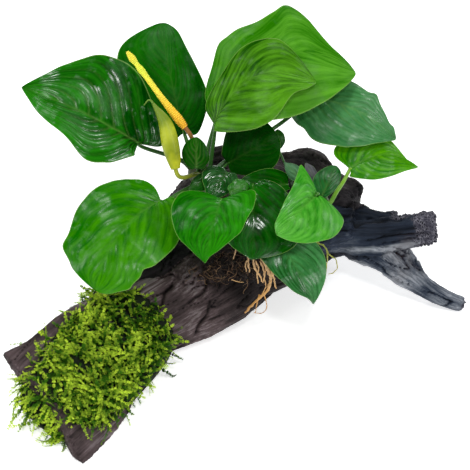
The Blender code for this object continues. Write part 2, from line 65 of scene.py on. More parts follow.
# Soft lamps: name, place in metres, width in metres, watts
LAMPS = (
    ("gloss", (-0.50, 0.20, 1.20), 0.28, 5.0),
    ("left", (-1.10, -0.50, 0.90), 0.60, 6.0),
    ("right", (1.00, -0.60, 1.00), 0.60, 6.0),
    ("back", (0.45, 0.95, 0.85), 0.50, 5.0),
    ("window", (0.13, -0.55, 1.20), 0.16, 3.6),
)

# Leaves

# A leaf: where its stem joins it, its tip, and which way its upper side faces. Then either half's
# margin: how far the lobe reaches back, how far out it lies there, and the half's width at the
# stations, which are shares of the length. Then how far the midrib bends to the left, how high
# it arches, how far the tip droops and the halves fold down, how deep the margin ripples,
# where on the rhizome the leaf is rooted, and whether it is one of the small ones.
Leaf = namedtuple("Leaf", "name base tip face left right sweep arch droop fold ripple root small")
STATIONS = (0.0, 0.25, 0.5, 0.75, 0.9)
# A leaf's middle surface in millimetres along, out to the left and up, with each point's row
# from 0 at the base to 1 at the tip, its lane from -1 to 1 and its share of the way outwards.
Surface = namedtuple("Surface", "along out rise row lane share")

LEAVES = (
    Leaf("far_left", (-66, 23, 116), (-147, 54, 141), (0.05, -0.50, 0.86),
         (1, 7, 12, 28, 20, 14, 6), (16, 7, 26, 44, 47, 29, 11),
         0, 8, 4, 5, 1.5, ("left", 0.05), False),
    Leaf("upper_left", (-36, 49, 102), (-51, 100, 161), (-0.05, -0.80, 0.60),
         (4, 8, 13, 27, 34, 36, 27), (3, 6, 12, 22, 19, 13, 9),
         0, 6, 4, 4, 1.0, ("left", 0.02), False),
    Leaf("top", (-13, 42, 123), (85, 67, 143), (0.05, -0.55, 0.83),
         (3, 10, 23, 51, 54, 53, 20), (0, 3, 6, 15, 18, 14, 7),
         24, 14, 6, 8, 2.5, ("left", 0.20), False),
    Leaf("upper_middle", (-14, 25, 131), (56, 46, 152), (0.0, -0.50, 0.87),
         (1, 6, 16, 31, 41, 42, 32), (1, 3, 6, 15, 14, 3, 2),
         16, 8, 5, 6, 1.5, ("left", 0.32), False),
    Leaf("right", (46, 68, 118), (110, 29, 118), (0.1, -0.50, 0.86),
         (4, 4, 15, 25, 22, 15, 6), (3, 8, 15, 25, 24, 17, 9),
         4, 8, 6, 5, 2.0, ("left", 0.28), False),
    Leaf("far_right", (80, 24, 91), (129, 30, 88), (0.1, -0.60, 0.80),
         (11, 12, 24, 26, 21, 8, 2), (0, 3, 6, 9, 8, 4, 2),
         8, 7, 4, 4, 0.8, ("right", 0.98), False),
    Leaf("left", (-50, -13, 96), (-92, -71, 67), (-0.1, -0.60, 0.79),
         (8, 6, 19, 27, 24, 18, 11), (8, 13, 31, 42, 41, 37, 40),
         -7, 10, 5, 7, 1.5, ("left", 0.36), False),
    Leaf("front", (-9, -30, 114), (-20, -70, 96), (-0.05, -0.50, 0.86),
         (12, 19, 22, 20, 18, 9, 3), (3, 16, 27, 31, 28, 20, 8),
         0, 6, 5, 5, 0.8, ("left", 0.70), False),
    Leaf("dark_middle", (12, -11, 109), (11, -56, 84), (0.05, -0.60, 0.80),
         (4, 9, 18, 29, 32, 31, 20), (3, 4, 8, 15, 18, 18, 8),
         0, 5, 5, 5, 1.0, ("left", 0.82), False),
    Leaf("heart", (55, -30, 119), (27, -56, 107), (0.1, -0.60, 0.80),
         (2, 19, 25, 28, 25, 18, 10), (7, 21, 19, 15, 12, 8, 5),
         0, 5, 4, 6, 0.6, ("right", 0.42), False),
    Leaf("low_right", (29, -36, 82), (53, -73, 59), (0.1, -0.6, 0.79),
         (3, 7, 14, 21, 22, 16, 8), (2, 7, 17, 16, 13, 8, 2),
         0, 5, 5, 4, 0.8, ("left", 0.95), False),
    Leaf("round", (-5, 24, 96), (31, 34, 112), (0.0, -0.7, 0.7),
         (1, 7, 9, 22, 24, 21, 15), (1, 5, 8, 15, 18, 16, 9),
         0, 3, 3, 3, 0.5, ("left", 0.38), True),
    Leaf("oval", (-26, 1, 113), (-26, 15, 129), (0.0, -0.75, 0.66),
         (1, 3, 5, 9, 10, 8, 5), (1, 3, 5, 9, 8, 6, 3),
         0, 2, 1, 2, 0.2, ("left", 0.12), True),
    Leaf("ruffled", (-5, 5, 106), (-17, -18, 103), (0.0, -0.55, 0.83),
         (2, 5, 8, 12, 11, 7, 3), (2, 6, 9, 14, 13, 8, 4),
         0, 3, 3, 3, 1.4, ("left", 0.45), True),
    Leaf("small_left", (-17, 4, 101), (-31, -5, 99), (-0.1, -0.55, 0.82),
         (1, 3, 4, 6, 6, 4, 2), (1, 3, 4, 6, 6, 4, 2),
         0, 2, 2, 2, 0.5, ("left", 0.20), True),
    Leaf("middle_under", (36, 1, 98), (-1, -4, 97), (0.0, -0.6, 0.80),
         (1, 3, 4, 6, 6, 5, 3), (1, 4, 8, 12, 12, 9, 5),
         0, 3, 3, 2, 0.6, ("right", 0.20), True),
    Leaf("small_grey", (45, -3, 106), (33, 7, 113), (-0.2, -0.6, 0.77),
         (1, 2, 3, 5, 5, 3, 1), (1, 2, 3, 5, 5, 3, 1),
         0, 1, 1, 2, 0.2, ("right", 0.50), True),
    Leaf("small_right", (59, -9, 97), (69, 6, 111), (0.0, -0.7, 0.7),
         (1, 3, 5, 10, 10, 7, 4), (1, 2, 3, 6, 7, 6, 4),
         0, 2, 2, 2, 0.4, ("right", 0.75), True),
    Leaf("tucked", (-3, -20, 111), (9, -14, 113), (0.0, -0.6, 0.8),
         (1, 2, 4, 5, 6, 5, 3), (1, 2, 4, 5, 5, 4, 3),
         0, 1, 1, 1, 0.2, ("left", 0.68), True),
    Leaf("behind", (30, 43, 94), (30, 52, 103), (0.0, -0.7, 0.7),
         (1, 2, 3, 5, 5, 4, 2), (1, 2, 3, 5, 5, 4, 2),
         0, 1, 1, 1, 0.2, ("right", 0.58), True),
    Leaf("mauve", (56, 2, 94), (48, 14, 106), (0.3, -0.6, 0.75),
         (1, 2, 3, 4, 4, 3, 1), (1, 2, 3, 5, 5, 4, 2),
         0, 1, 1, 1, 0.2, ("right", 0.88), True),
)

# How each leaf is finished: its shaded and lit greens, which way in the blade it goes from one
# to the other (towards the tip, towards the left margin), how deep its quilting is in mm, how
# many side veins each half has, how rough its skin is, how pale its veins are, and how far its
# margin is rounded.
Finish = namedtuple("Finish", "shade light toward quilt veins rough pale rounding")
FINISHES = {
    "far_left": Finish("#003C02", "#227A0E", (0.9, 0.6), 2.2, 8, 0.25, 0.08, 4),
    "upper_left": Finish("#024202", "#146406", (0.8, 0.2), 0.35, 10, 0.38, 0.03, 16),
    "top": Finish("#247000", "#5CA42A", (0.1, -0.5), 0.35, 9, 0.34, 0.03, 12),
    "upper_middle": Finish("#0C4600", "#56981C", (0.5, -0.3), 0.35, 8, 0.34, 0.03, 12),
    "right": Finish("#2A6A34", "#4E8C52", (0.3, 0.2), 1.2, 8, 0.30, 0.09, 8),
    "far_right": Finish("#147000", "#5CAA0C", (0.5, 0.2), 0.45, 7, 0.30, 0.06, 5),
    "left": Finish("#0C6400", "#409006", (0.1, 0.5), 0.55, 8, 0.30, 0.04, 30),
    "front": Finish("#035200", "#288A0A", (0.2, 0.4), 0.25, 8, 0.28, 0.03, 4),
    "dark_middle": Finish("#023A02", "#14680A", (0.0, -0.4), 0.30, 8, 0.20, 0.03, 8),
    "heart": Finish("#187A0A", "#5CB23A", (0.4, 0.1), 0.45, 7, 0.32, 0.05, 8),
    "low_right": Finish("#0E4A16", "#428848", (0.0, 0.6), 0.25, 8, 0.30, 0.03, 5),
    "round": Finish("#013002", "#0A4A04", (0.0, -0.5), 0.20, 7, 0.40, 0.02, 14),
    "oval": Finish("#003400", "#105602", (0.2, 0.1), 0.5, 5, 0.32, 0.08, 8),
    "ruffled": Finish("#043206", "#1C601E", (0.2, 0.1), 1.6, 6, 0.18, 0.03, 6),
    "small_left": Finish("#083A08", "#165A12", (0.2, 0.1), 0.4, 5, 0.28, 0.04, 6),
    "middle_under": Finish("#003000", "#0A5400", (-0.6, 0.2), 0.3, 6, 0.32, 0.03, 8),
    "small_grey": Finish("#2A5434", "#52805A", (0.2, 0.1), 0.4, 5, 0.42, 0.06, 6),
    "small_right": Finish("#083A12", "#266A2E", (0.2, 0.1), 0.6, 5, 0.31, 0.05, 6),
    "tucked": Finish("#0C4E02", "#267810", (0.2, 0.1), 0.3, 5, 0.32, 0.04, 6),
    "behind": Finish("#0C3C0C", "#1F5A18", (0.2, 0.1), 0.3, 4, 0.38, 0.04, 6),
    "mauve": Finish("#3C3E42", "#6C6B72", (0.2, 0.1), 0.3, 4, 0.42, 0.04, 6),
}
# Where a margin swells or draws in: side (1 left, -1 right), share of the length, spread, and mm.
MARGIN_SWELLS = {
    "top": ((1, 0.16, 0.06, 4.0), (1, 0.43, 0.08, -1.5), (1, 0.67, 0.06, 3.0),
            (1, 0.85, 0.05, -4.0), (1, 0.95, 0.04, 1.6)),
    "right": ((1, 0.67, 0.05, 3.0), (1, 0.93, 0.04, 2.0), (-1, 0.20, 0.06, -1.8)),
    "far_left": ((-1, 0.60, 0.08, 1.6), (1, 0.10, 0.05, 1.0)),
    "left": ((-1, 0.50, 0.15, 2.5), (-1, 0.89, 0.06, -10.0), (1, 0.62, 0.05, -3.0),
             (1, 0.83, 0.05, 2.5)),
}
# A stem that bends round its neighbours passes these points.
STEM_TURNS = {"far_right": ((62, 6, 79), (65, -1, 82), (70, 8, 84), (75, 18, 84))}
# How strongly the wax of a leaf shines where it is whole; half as a rule.
WAX_SHINE = {"front": 0.2, "dark_middle": 1.0, "ruffled": 1.0, "low_right": 0.9, "far_left": 1.0,
             "right": 0.9, "heart": 0.6, "round": 0.12, "upper_left": 0.15, "top": 0.2,
             "upper_middle": 0.2, "left": 0.4, "middle_under": 0.1, "oval": 0.1}

LEAF_STEPS = 90
LEAF_LANES = 34
SMALL_LEAF_STEPS = 48
SMALL_LEAF_LANES = 16
BLADE_THICKNESS = 0.9
MARGIN_THICKNESS = 0.35
ROW_CROWDING = 1.25       # crowds the rows towards the base
RIPPLE_WAVES = 9.0        # radians from base to tip
RIPPLE_OFFSET = 2.0       # radians between the two halves
LEVEL_BEHIND = -0.03      # the lobes lie level beyond this share of the length
QUILT_LEVEL = 0.6         # about the mean height of the quilting
UNEVEN_SCALE = 0.045      # for uneven skin in waves of about 20 mm
UNDERSIDE_SHARE = 0.8     # how much of the underside's own colour shows there
SKIN_STRETCH = 2.4        # the mottling's steps from midrib to margin, in spacings of veins
VEIN_LEAN = 0.62          # how far a vein runs on towards the tip by the time it meets the margin
VEIN_CURVE = 1.2
VEIN_STAGGER = 0.35       # the two halves' veins are set off, as a share of their spacing
VEIN_WANDER = 0.28        # of the space between two veins
VEIN_WIDTH = 0.8
VEIN_SHADE = 0.55         # how much lighter the skin is painted between two veins than along them: painted highlight on the cushions, painted shade in the grooves
RIB_DEPTH = 0.9
RIB_WIDTH = 1.8
DEEP_RIBS = {"heart": (2.6, 2.8)}    # how much deeper, and how wide
RIB_KEEL = 1.1            # how far the midrib stands out below the blade
MARGIN_WAVE = 0.7

# Stems

STEM_RADIUS = 1.7
SMALL_STEM_SHARE = 0.6
STEM_TAPER = 0.3
STEM_SPREAD = 0.2         # of a stem's sideways run, in the way that it leaves the rhizome
STEM_LEAN = 0.33          # of its rise, in the same way
STEM_MIN_RISE = 8.0
STEM_SET_OFF = 1.6        # from the rhizome's skin to where the bend starts
STEM_PULL = 0.3           # how stiff the bend is at either end
STEM_GAP = 1.0
STEM_STEPS = 26
STEM_SIDES = 12
LEAF_THICKNESS = 1.2
FLOWER_STEM_RADIUS = 1.5
RHIZOME_RADIUS = 7.0
RHIZOME_STEPS = 40        # for the places where stems start
RHIZOME_RINGS = 90
RHIZOME_SIDES = 26
RHIZOME_LEFT = ((-30, 36, 80), (-18, 16, 83), (-2, -8, 81), (18, -34, 72))
RHIZOME_RIGHT = ((14, -12, 81), (38, 0, 82), (62, 8, 78))

# Wood: the middle line of each limb, which its grain follows

WOOD_NODES = ("driftwood_trunk", "driftwood_slab", "driftwood_rear_ridge",
              "driftwood_thick_arm", "driftwood_short_arm", "driftwood_thin_arm")
GRAIN_LINES = (
    ((-50, -16, 26), (12, 18, 40), (62, 24, 44), (88, 30, 52)),
    ((40, 18, 38), (-16, -21, 27), (-73, -62, 20), (-127, -129, 18)),
    ((-20, 60, 66), (34, 55, 62), (80, 38, 54)),
    ((52, 8, 42), (104, 7, 43), (142, 13, 44)),
    ((84, 26, 47), (102, 24, 47), (117, 22, 48)),
    ((84, 13, 38), (120, -6, 22), (150, -21, 7), (163, -25, 5)),
    ((14, 40, 40), (16, 48, 20), (16, 50, 2)),
)
GRAIN_OFFSET = 37                    # sets the limbs' grain patterns apart
WOOD_VOXEL = 1.3
WOOD_LEVEL = 70.0                    # percent of the skin that lies below the plain wood
SLAB_LIMB = 1                        # the slab, which darkens towards the trunk
BROKEN_LIMBS = (3, 4)                # their ends are broken all round
HIGHLIT_LIMB = 3                      # a painted highlight runs along its lower side
HIGHLIGHT_BAND = (-12.0, 3.5, 2.6, 0.8)   # the painted highlight: height seen from the front, its gain, spread and strength
CRACKS = (                           # limb, then along and across in its grain at either end
    (1, (84, 17), (116, 3)),
    (1, (88, 2), (107, -3)),
    (1, (60, 30), (96, 24)),
    (1, (100, 40), (128, 30)),
)
WOOD_PULLS = (                       # places where the wood is drawn out: middle, reach, shift
    ((-92, -159, 8), 24.0, (-7.0, -8.0, 0.0)),
    ((-132, -66, 18), 26.0, (-1.5, 3.5, 0.0)),
)
GREYNESS = (0.15, 0.0, 0.10, 0.85, 0.85, 0.85, 0.10)      # how blue-grey each limb is
PALENESS = (0.48, 1.30, 0.80, 0.50, 0.42, 1.28, 0.60)     # how pale its raised grain is, partly weathered grey and partly painted highlight
END_LENGTHS = {3: 17.0, 4: 7.0, 5: 3.0}      # of an arm's end where it shows end grain, in mm
RELIEF_SHARES = (1.0, 0.55, 1.0, 1.0, 1.0, 0.8, 1.0)      # how deep each limb is weathered
CRACK_DEPTH = 2.6
CRACK_WIDTH = 0.8
CRACK_WAVER = 1.2                    # how far a crack strays from its straight line
CRACK_BELOW = 8                      # how far below a limb's middle line a crack still runs
CRACK_SHARE = 0.035                  # how wide the fine splits are, in the noise that sets them
END_PITS = 2.0                       # how deep the end grain is pitted
TANGLE_MIDDLE = (-8.0, -42.0, 57.0)  # of the matted roots
TANGLE_REACH = (40.0, 20.0, 21.0)

# What is set over a surface: the piece's name, the mark that says how thick it stands there, how
# long one of it is, how many stand on a square metre, the least and greatest lean and size, and
# the seed.

Growth = namedtuple("Growth", "name cover reach density lean size seed")
MATTED_ROOTS = Growth("root_mat", "tangle", 9.0, 560000.0, (-0.60, 0.10), (0.4, 1.2), 31)
MOSS_TUFTS = Growth("moss_tufts", "cover", 10.0, 250000.0, (-1.05, 0.05), (0.55, 1.35), 11)
MOSS_TRAILS = Growth("moss_trails", "trail_cover", 17.0, 110000.0, (-0.35, 0.15), (0.6, 1.35), 23)

# Moss

MOSS_MIDDLE = (-88, -89, 24)
MOSS_ALONG = (0.58, 0.81, 0.06)
MOSS_ACROSS = (0.56, -0.70, -0.44)
MOSS_HALF_LENGTH = 70.0
MOSS_HALF_WIDTH = 41.0
MOSS_VOXEL = 2.0
MOSS_SHOOT_HEIGHT = 8.0
MOSS_FLOW = math.atan2(-1.0, -0.9)   # the heading in which the trailing shoots lie
FROND_LEAFLET = 2.2                  # the longest leaflet

# Flowers

SPADIX_PATH = ((-34, 20, 133), (-48, 31, 147), (-60, 41, 160), (-72, 50, 173))
SPADIX_RADII = (2.7, 3.5, 3.3, 2.9, 2.6, 2.4, 2.3, 2.3, 2.3, 2.7, 2.1, 2.8, 1.5)
SPADIX_RINGS = 52
SPADIX_AROUND = 13
SPATHE_PATH = ((-40, -1, 114), (-43, 7, 125), (-47, 18, 138), (-55, 27, 148))
SPATHE_RADII = (3.2, 4.3, 5.1, 5.6, 5.7, 5.3, 4.5, 3.3, 1.9, 0.8)
SPATHE_HOOK = ((-55, 27, 148), (-56.5, 28, 149.5), (-58.5, 28, 149.5), (-61, 25.5, 147.5))
SPATHE_RINGS = 40
SPATHE_SIDES = 28
FLORET_RADIUS = 0.75
# Each flower's stem: its place on the rhizome, the path that it leads into, steps along that,
# and its colours from the foot up.
FLOWER_STEMS = (
    ("open", ("left", 0.10), SPADIX_PATH, 13, ("#4E7A1E", "#7C6A22", "#9A5E2A")),
    ("closed", ("left", 0.26), SPATHE_PATH, 10, ("#5E761E", "#8C942A", "#A8B030")),
)

# Roots: a radius, and the points each runs through. The last ones make up the curled root.

CURLED_ROOTS = 2
ROOT_FULLNESS = 0.80                 # of the radius, as the lumps add to it
ROOT_SEED = 7                        # without one, noise_vector differs from run to run
ROOT_STEPS = 8                       # for each point of the path
ROOT_SIDES = 8
ROOTS = (
    (1.7, ((18, -40, 69), (21, -42, 62), (24, -43, 54), (24, -44, 48), (22, -45, 41),
           (17, -46, 35), (12, -47, 29), (7, -48, 22))),
    (1.0, ((9, -40, 69), (9, -42, 63), (10, -43, 57))),
    (1.1, ((12, -41, 68), (14, -42, 59), (17, -43, 54), (18, -44, 49))),
    (0.9, ((17, -41, 66), (20, -43, 57), (19, -44, 48))),
    (1.0, ((22, -41, 65), (25, -43, 57), (27, -44, 50), (28, -45, 43))),
    (0.5, ((20, -45, 39), (21, -46, 33), (22, -47, 29), (21, -48, 24), (17, -48, 21),
           (13, -48, 22))),
    (0.6, ((17, -45, 37), (16, -46, 33), (15, -47, 28), (14, -48, 22))),
    (0.7, ((1, -39, 78), (0, -40, 74), (-1, -41, 68))),
    (0.4, ((-2, -43, 50), (2, -44, 49), (6, -44, 48))),
    (0.8, ((14, -41, 66), (16, -42, 60), (15, -43, 54), (16, -44, 47))),
    (0.7, ((21, -42, 59), (20, -43, 51), (21, -44, 44), (19, -45, 38))),
    (0.7, ((8, -41, 67), (7, -42, 62), (8, -42, 57))),
    (0.8, ((54, -28, 74), (56, -29, 72), (61, -31, 69), (63, -33, 64), (63, -35, 59), (62, -38, 52))),
    (0.6, ((62, -31, 67), (64, -33, 64), (68, -34, 61), (70, -36, 56), (67, -38, 52), (64, -39, 51))),
)


def to_frame(point):
    """A layout point in millimetres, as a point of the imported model's frame in metres."""
    return (Vector(point) + LAYOUT_SHIFT) * MM


def linear(hex_colour):
    """An sRGB hex colour as the linear values that a shader takes."""
    values = []
    for i in (1, 3, 5):
        c = int(hex_colour[i:i + 2], 16) / 255
        values.append(c / 12.92 if c <= 0.04045 else ((c + 0.055) / 1.055) ** 2.4)
    return (*values, 1.0)


def set_stops(colour_ramp, stops):
    """Gives a colour ramp its stops, from positions and hex colours."""
    elements = colour_ramp.elements
    elements[1].position = 1.0
    while len(elements) < len(stops):
        elements.new(0.5)
    for element, (position, colour) in zip(elements, stops):
        element.position = position
        element.color = linear(colour)


def connect(tree, node, inputs):
    """Sets a node's sockets to values or hex colours, or links them.

    A link comes from a socket, or from the first output of a node.
    """
    for key, value in inputs.items():
        if isinstance(value, bpy.types.Node):
            value = value.outputs[0]
        if isinstance(value, bpy.types.NodeSocket):
            tree.links.new(value, node.inputs[key])
        elif isinstance(value, str) and value.startswith("#"):
            node.inputs[key].default_value = linear(value)
        else:
            node.inputs[key].default_value = value


def add(tree, kind, settings=None, inputs=None):
    """Adds a node. Settings go to its properties, and inputs to its sockets."""
    made = tree.nodes.new(kind)
    for name, value in (settings or {}).items():
        if name == "stops":
            set_stops(made.color_ramp, value)
        else:
            setattr(made, name, value)
    connect(tree, made, inputs or {})
    return made


def new_material(name):
    """An empty node material, its tree and its Principled shader."""
    made = bpy.data.materials.new(name)
    made.use_nodes = True
    return made, made.node_tree, made.node_tree.nodes["Principled BSDF"]


def new_object(name, data):
    """An object at the origin of the scene."""
    made = bpy.data.objects.new(name, data)
    bpy.context.scene.collection.objects.link(made)
    return made


def mesh_piece(name, points, faces):
    """A smooth piece at the origin, from points in layout millimetres."""
    shifted = (np.asarray(points, dtype=float) + np.array(LAYOUT_SHIFT)) * MM
    mesh = bpy.data.meshes.new(name)
    mesh.from_pydata(shifted.tolist(), [], faces)
    mesh.validate()
    mesh.shade_smooth()
    return new_object(name, mesh)


def small_source(name, points, faces):
    """A small shape for setting over a surface, from millimetres about its own foot."""
    mesh = bpy.data.meshes.new(name)
    mesh.from_pydata([point * MM for point in points], [], faces)
    return new_object(name, mesh)


def give_attribute(piece, name, values):
    """Stores one number for each vertex."""
    made = piece.data.attributes.new(name, "FLOAT", "POINT")
    made.data.foreach_set("value", np.asarray(values, dtype=np.float32))


def layout_places(mesh):
    """A mesh's vertex places in layout millimetres."""
    places = np.empty(len(mesh.vertices) * 3)
    mesh.vertices.foreach_get("co", places)
    return places.reshape(-1, 3) / MM - np.array(LAYOUT_SHIFT)


def vertex_normals(mesh):
    """A mesh's vertex normals."""
    normals = np.empty(len(mesh.vertices) * 3)
    mesh.vertex_normals.foreach_get("vector", normals)
    return normals.reshape(-1, 3)


def set_places(mesh, layout):
    """Puts a mesh's vertices at places in layout millimetres."""
    mesh.vertices.foreach_set("co", ((layout + np.array(LAYOUT_SHIFT)) * MM).ravel())
    mesh.update()


def keep_above_ground(piece):
    """Nothing reaches below the surface that the wood stands on."""
    layout = layout_places(piece.data)
    layout[:, 2] = np.maximum(layout[:, 2], GROUND_GAP)
    set_places(piece.data, layout)


def take_evaluated(piece):
    """Turns a piece into the plain mesh that its modifiers make."""
    graph = bpy.context.evaluated_depsgraph_get()
    made = bpy.data.meshes.new_from_object(piece.evaluated_get(graph))
    piece.modifiers.clear()
    piece.data = made


def finish_piece(piece, finish, slot_name, *nodes):
    """Gives a piece its material, lets it ride on the body, and hides the nodes it stands for."""
    piece.data.materials.clear()
    piece.data.materials.append(finish)
    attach(piece, "root")
    if nodes:
        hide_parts(*nodes)


def remeshed_nodes(name, nodes, voxel, rounds):
    """The solids of some nodes as one even skin, smoothed a number of rounds."""
    work = bmesh.new()
    for node in nodes:
        work.from_mesh(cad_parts[node].data)
    bmesh.ops.remove_doubles(work, verts=work.verts, dist=MERGE_DISTANCE)
    mesh = bpy.data.meshes.new(name)
    work.to_mesh(mesh)
    work.free()
    piece = new_object(name, mesh)
    skin = piece.modifiers.new("skin", "REMESH")
    skin.mode = "VOXEL"
    skin.voxel_size = voxel * MM
    soft = piece.modifiers.new("soft", "SMOOTH")
    soft.iterations = rounds
    soft.factor = 0.5
    take_evaluated(piece)
    return piece


def two_scales(point, coarse, fine, share):
    """Random waves at two scales, of which the finer ones count by a share."""
    spot = Vector(point)
    return noise.noise(spot * coarse) + share * noise.noise(spot * fine)


def smooth_path(points, count):
    """Points read at even steps from a Catmull-Rom curve through the given ones."""
    rows = np.array(points, dtype=float)
    rows = np.vstack([2 * rows[0] - rows[1], rows, 2 * rows[-1] - rows[-2]])
    spans = len(points) - 1
    along = np.arange(count) * spans / (count - 1)
    k = np.minimum(along.astype(int), spans - 1)
    t = (along - k)[:, None]
    a, b, c, d = rows[k], rows[k + 1], rows[k + 2], rows[k + 3]
    return 0.5 * (2 * b + (c - a) * t + (2 * a - 5 * b + 4 * c - d) * t * t
                  + (3 * b - a - 3 * c + d) * t ** 3)


def smooth_values(values, count):
    """Single values read from a smooth curve in the same way."""
    return smooth_path([(value, 0.0) for value in values], count)[:, 0]


def rings_along(path, side=None):
    """For every point of a path: the point, and two ways that lie square to the path there."""
    path = [Vector(point) for point in path]
    rings = []
    for i, middle in enumerate(path):
        ahead = (path[min(i + 1, len(path) - 1)] - path[max(i - 1, 0)]).normalized()
        if side is None:
            side = ahead.orthogonal()
        side = (side - ahead * side.dot(ahead)).normalized()
        rings.append((middle, side, ahead.cross(side)))
    return rings


def spoke(side, other, share):
    """The way out from a path, at a share of the turn round it."""
    turn = 2 * math.pi * share
    return side * math.cos(turn) + other * math.sin(turn)


def ring_faces(rings, sides):
    """The quads between closed rings of points that follow one another."""
    faces = []
    for i in range(rings - 1):
        for j in range(sides):
            a = i * sides + j
            b = i * sides + (j + 1) % sides
            faces.append((a, b, b + sides, a + sides))
    return faces


def end_faces(rings, sides):
    """The two flat faces that close the first and the last ring."""
    last = (rings - 1) * sides
    return [tuple(reversed(range(sides))), tuple(range(last, last + sides))]


def tube(path, radii, sides):
    """A closed tube along a path, with rounded ends: its points and faces."""
    path = [Vector(point) for point in path]
    points = []
    for radius, (middle, side, other) in zip(radii, rings_along(path)):
        points += [middle + spoke(side, other, j / sides) * radius for j in range(sides)]
    faces = ring_faces(len(path), sides)
    last = (len(path) - 1) * sides
    pole = len(points)
    points.append(path[0] - (path[1] - path[0]).normalized() * radii[0] * TUBE_CAP)
    points.append(path[-1] + (path[-1] - path[-2]).normalized() * radii[-1] * TUBE_CAP)
    for j in range(sides):
        k = (j + 1) % sides
        faces.append((pole, k, j))
        faces.append((pole + 1, last + j, last + k))
    return points, faces


def join_shells(shells):
    """Puts several shells in one list of points and faces."""
    points, faces = [], []
    for more_points, more_faces in shells:
        start = len(points)
        points += [tuple(p) for p in more_points]
        faces += [tuple(i + start for i in face) for face in more_faces]
    return points, faces


# Leaves and their stems


def leaf_length(leaf):
    """A leaf's length from its stem to its tip."""
    return (Vector(leaf.tip) - Vector(leaf.base)).length


def leaf_axes(leaf):
    """A leaf's way from base to tip, its way to the left, and its way up."""
    ahead = (Vector(leaf.tip) - Vector(leaf.base)).normalized()
    face = Vector(leaf.face)
    up = (face - ahead * face.dot(ahead)).normalized()
    return ahead, up.cross(ahead), up


def leaf_margin(leaf, side, steps):
    """One margin of a leaf from its base to its tip, as (along, outward) pairs."""
    back, back_out, *widths = side
    length = leaf_length(leaf)
    control = [(0.0, 0.0), (-back, back_out)]
    control += [(length * station, width) for station, width in zip(STATIONS, widths)]
    control.append((length, 0.0))
    return smooth_path(control, steps + 1)


def rounded_margins(leaf, steps, passes):
    """Both margins, rounded as one line that is held at the base."""
    left = leaf_margin(leaf, leaf.left, steps)
    right = leaf_margin(leaf, leaf.right, steps) * (1, -1)
    line = np.vstack([left, right[-2::-1]])
    for _ in range(passes):
        line[1:-1] = 0.25 * line[:-2] + 0.5 * line[1:-1] + 0.25 * line[2:]
    for side, share, spread, swell in MARGIN_SWELLS.get(leaf.name, ()):
        off = line[:, 0] / leaf_length(leaf) - share
        line[:, 1] += side * swell * np.exp(-(off / spread) ** 2) * (line[:, 1] * side > 0)
    return line[:steps + 1], line[:steps - 1:-1] * (1, -1)


def leaf_surface(leaf, steps, lanes):
    """A leaf's middle surface: rows from base to tip, lanes from right to left."""
    length = leaf_length(leaf)
    widest = max(leaf.left[2:] + leaf.right[2:])
    row = np.arange(steps + 1)[:, None] / steps
    lane = np.arange(-lanes, lanes + 1)[None, :] / lanes
    share = np.abs(lane)
    left, right = rounded_margins(leaf, steps, FINISHES[leaf.name].rounding)
    margin_along = np.where(lane > 0, left[:, :1], right[:, :1])
    margin_out = np.where(lane > 0, left[:, 1:], right[:, 1:])
    rib = row ** ROW_CROWDING
    rib_out = leaf.sweep * 4 * rib * (1 - rib) + left[-1, 1] * rib
    along = left[-1, 0] * rib * (1 - share) + margin_along * share
    out = rib_out * (1 - share) + np.sign(lane) * margin_out * share
    part = along / length
    middle = np.where((part > 0) & (part < 1), leaf.sweep * 4 * part * (1 - part), 0.0)
    from_rib = np.abs(out - middle) / widest
    held = np.maximum(part, LEVEL_BEHIND)
    rise = leaf.arch * 4 * held * (1 - held) - leaf.droop * part * part
    rise = rise - leaf.fold * from_rib ** 2
    wave = RIPPLE_WAVES * part + np.where(out > middle, RIPPLE_OFFSET, 0.0)
    rise = rise + leaf.ripple * from_rib * np.sin(wave)
    return Surface(along, out, rise, row, lane, share)


def vein_phase(leaf, surface):
    """Counts the side veins from the base; a whole number lies on a vein."""
    row, share = surface.row, surface.share
    stagger = np.where(surface.lane > 0, VEIN_STAGGER, 0.0)
    wander = VEIN_WANDER * np.sin(9 * row + 6 * stagger + len(leaf.name) + share)
    return FINISHES[leaf.name].veins * (row - VEIN_LEAN * share ** VEIN_CURVE) + stagger + wander


def leaf_relief(leaf, surface):
    """How far the upper skin stands off in mm, where veins lie, and how full it is between them."""
    along, out, _, row, lane, share = surface
    finish = FINISHES[leaf.name]
    phase = vein_phase(leaf, surface)
    apart = np.abs(phase - np.round(phase)) * leaf_length(leaf) / finish.veins
    cushion = np.abs(np.sin(math.pi * phase)) - QUILT_LEVEL
    small = np.abs(np.sin(2 * math.pi * phase)) ** 0.8 - QUILT_LEVEL
    # The quilting fades at the midrib, at the margin, at the tip and at the base.
    fade = np.clip(share * 9, 0, 1) * (1 - share) ** 0.55 * np.clip(1.2 - row, 0, 1) ** 0.5
    fade = fade * np.clip(row * 12, 0, 1)
    relief = finish.quilt * (cushion + 0.2 * small) * fade
    middle = out.shape[1] // 2
    from_rib = np.abs(out - out[:, middle:middle + 1])
    for depth, width in ((RIB_DEPTH, RIB_WIDTH), DEEP_RIBS.get(leaf.name, (0.0, 1.0))):
        relief = relief - depth * np.exp(-(from_rib / width) ** 2) * (1 - row)
    seed = len(leaf.name) * 7.3 + leaf.base[0]
    uneven = np.zeros_like(along)
    for i, j in np.ndindex(along.shape):
        spot = (along[i, j] * UNEVEN_SCALE, out[i, j] * UNEVEN_SCALE, seed)
        uneven[i, j] = two_scales(spot, 1.0, 3.1, 0.5)
    steady = np.clip(row * 8, 0, 1) * (0.5 if leaf.small else 1.0)
    relief = relief + uneven * (0.6 + 1.3 * share) * steady
    relief = relief + MARGIN_WAVE * share ** 4 * np.sin(row * 26 + lane * 2 + seed) * steady
    veins = np.exp(-(apart / VEIN_WIDTH) ** 2) * np.clip(1.1 - share, 0, 1)
    rib = np.exp(-(from_rib / VEIN_WIDTH) ** 2) * (1.15 - row)
    return relief, np.maximum(0.7 * veins, rib), cushion * fade


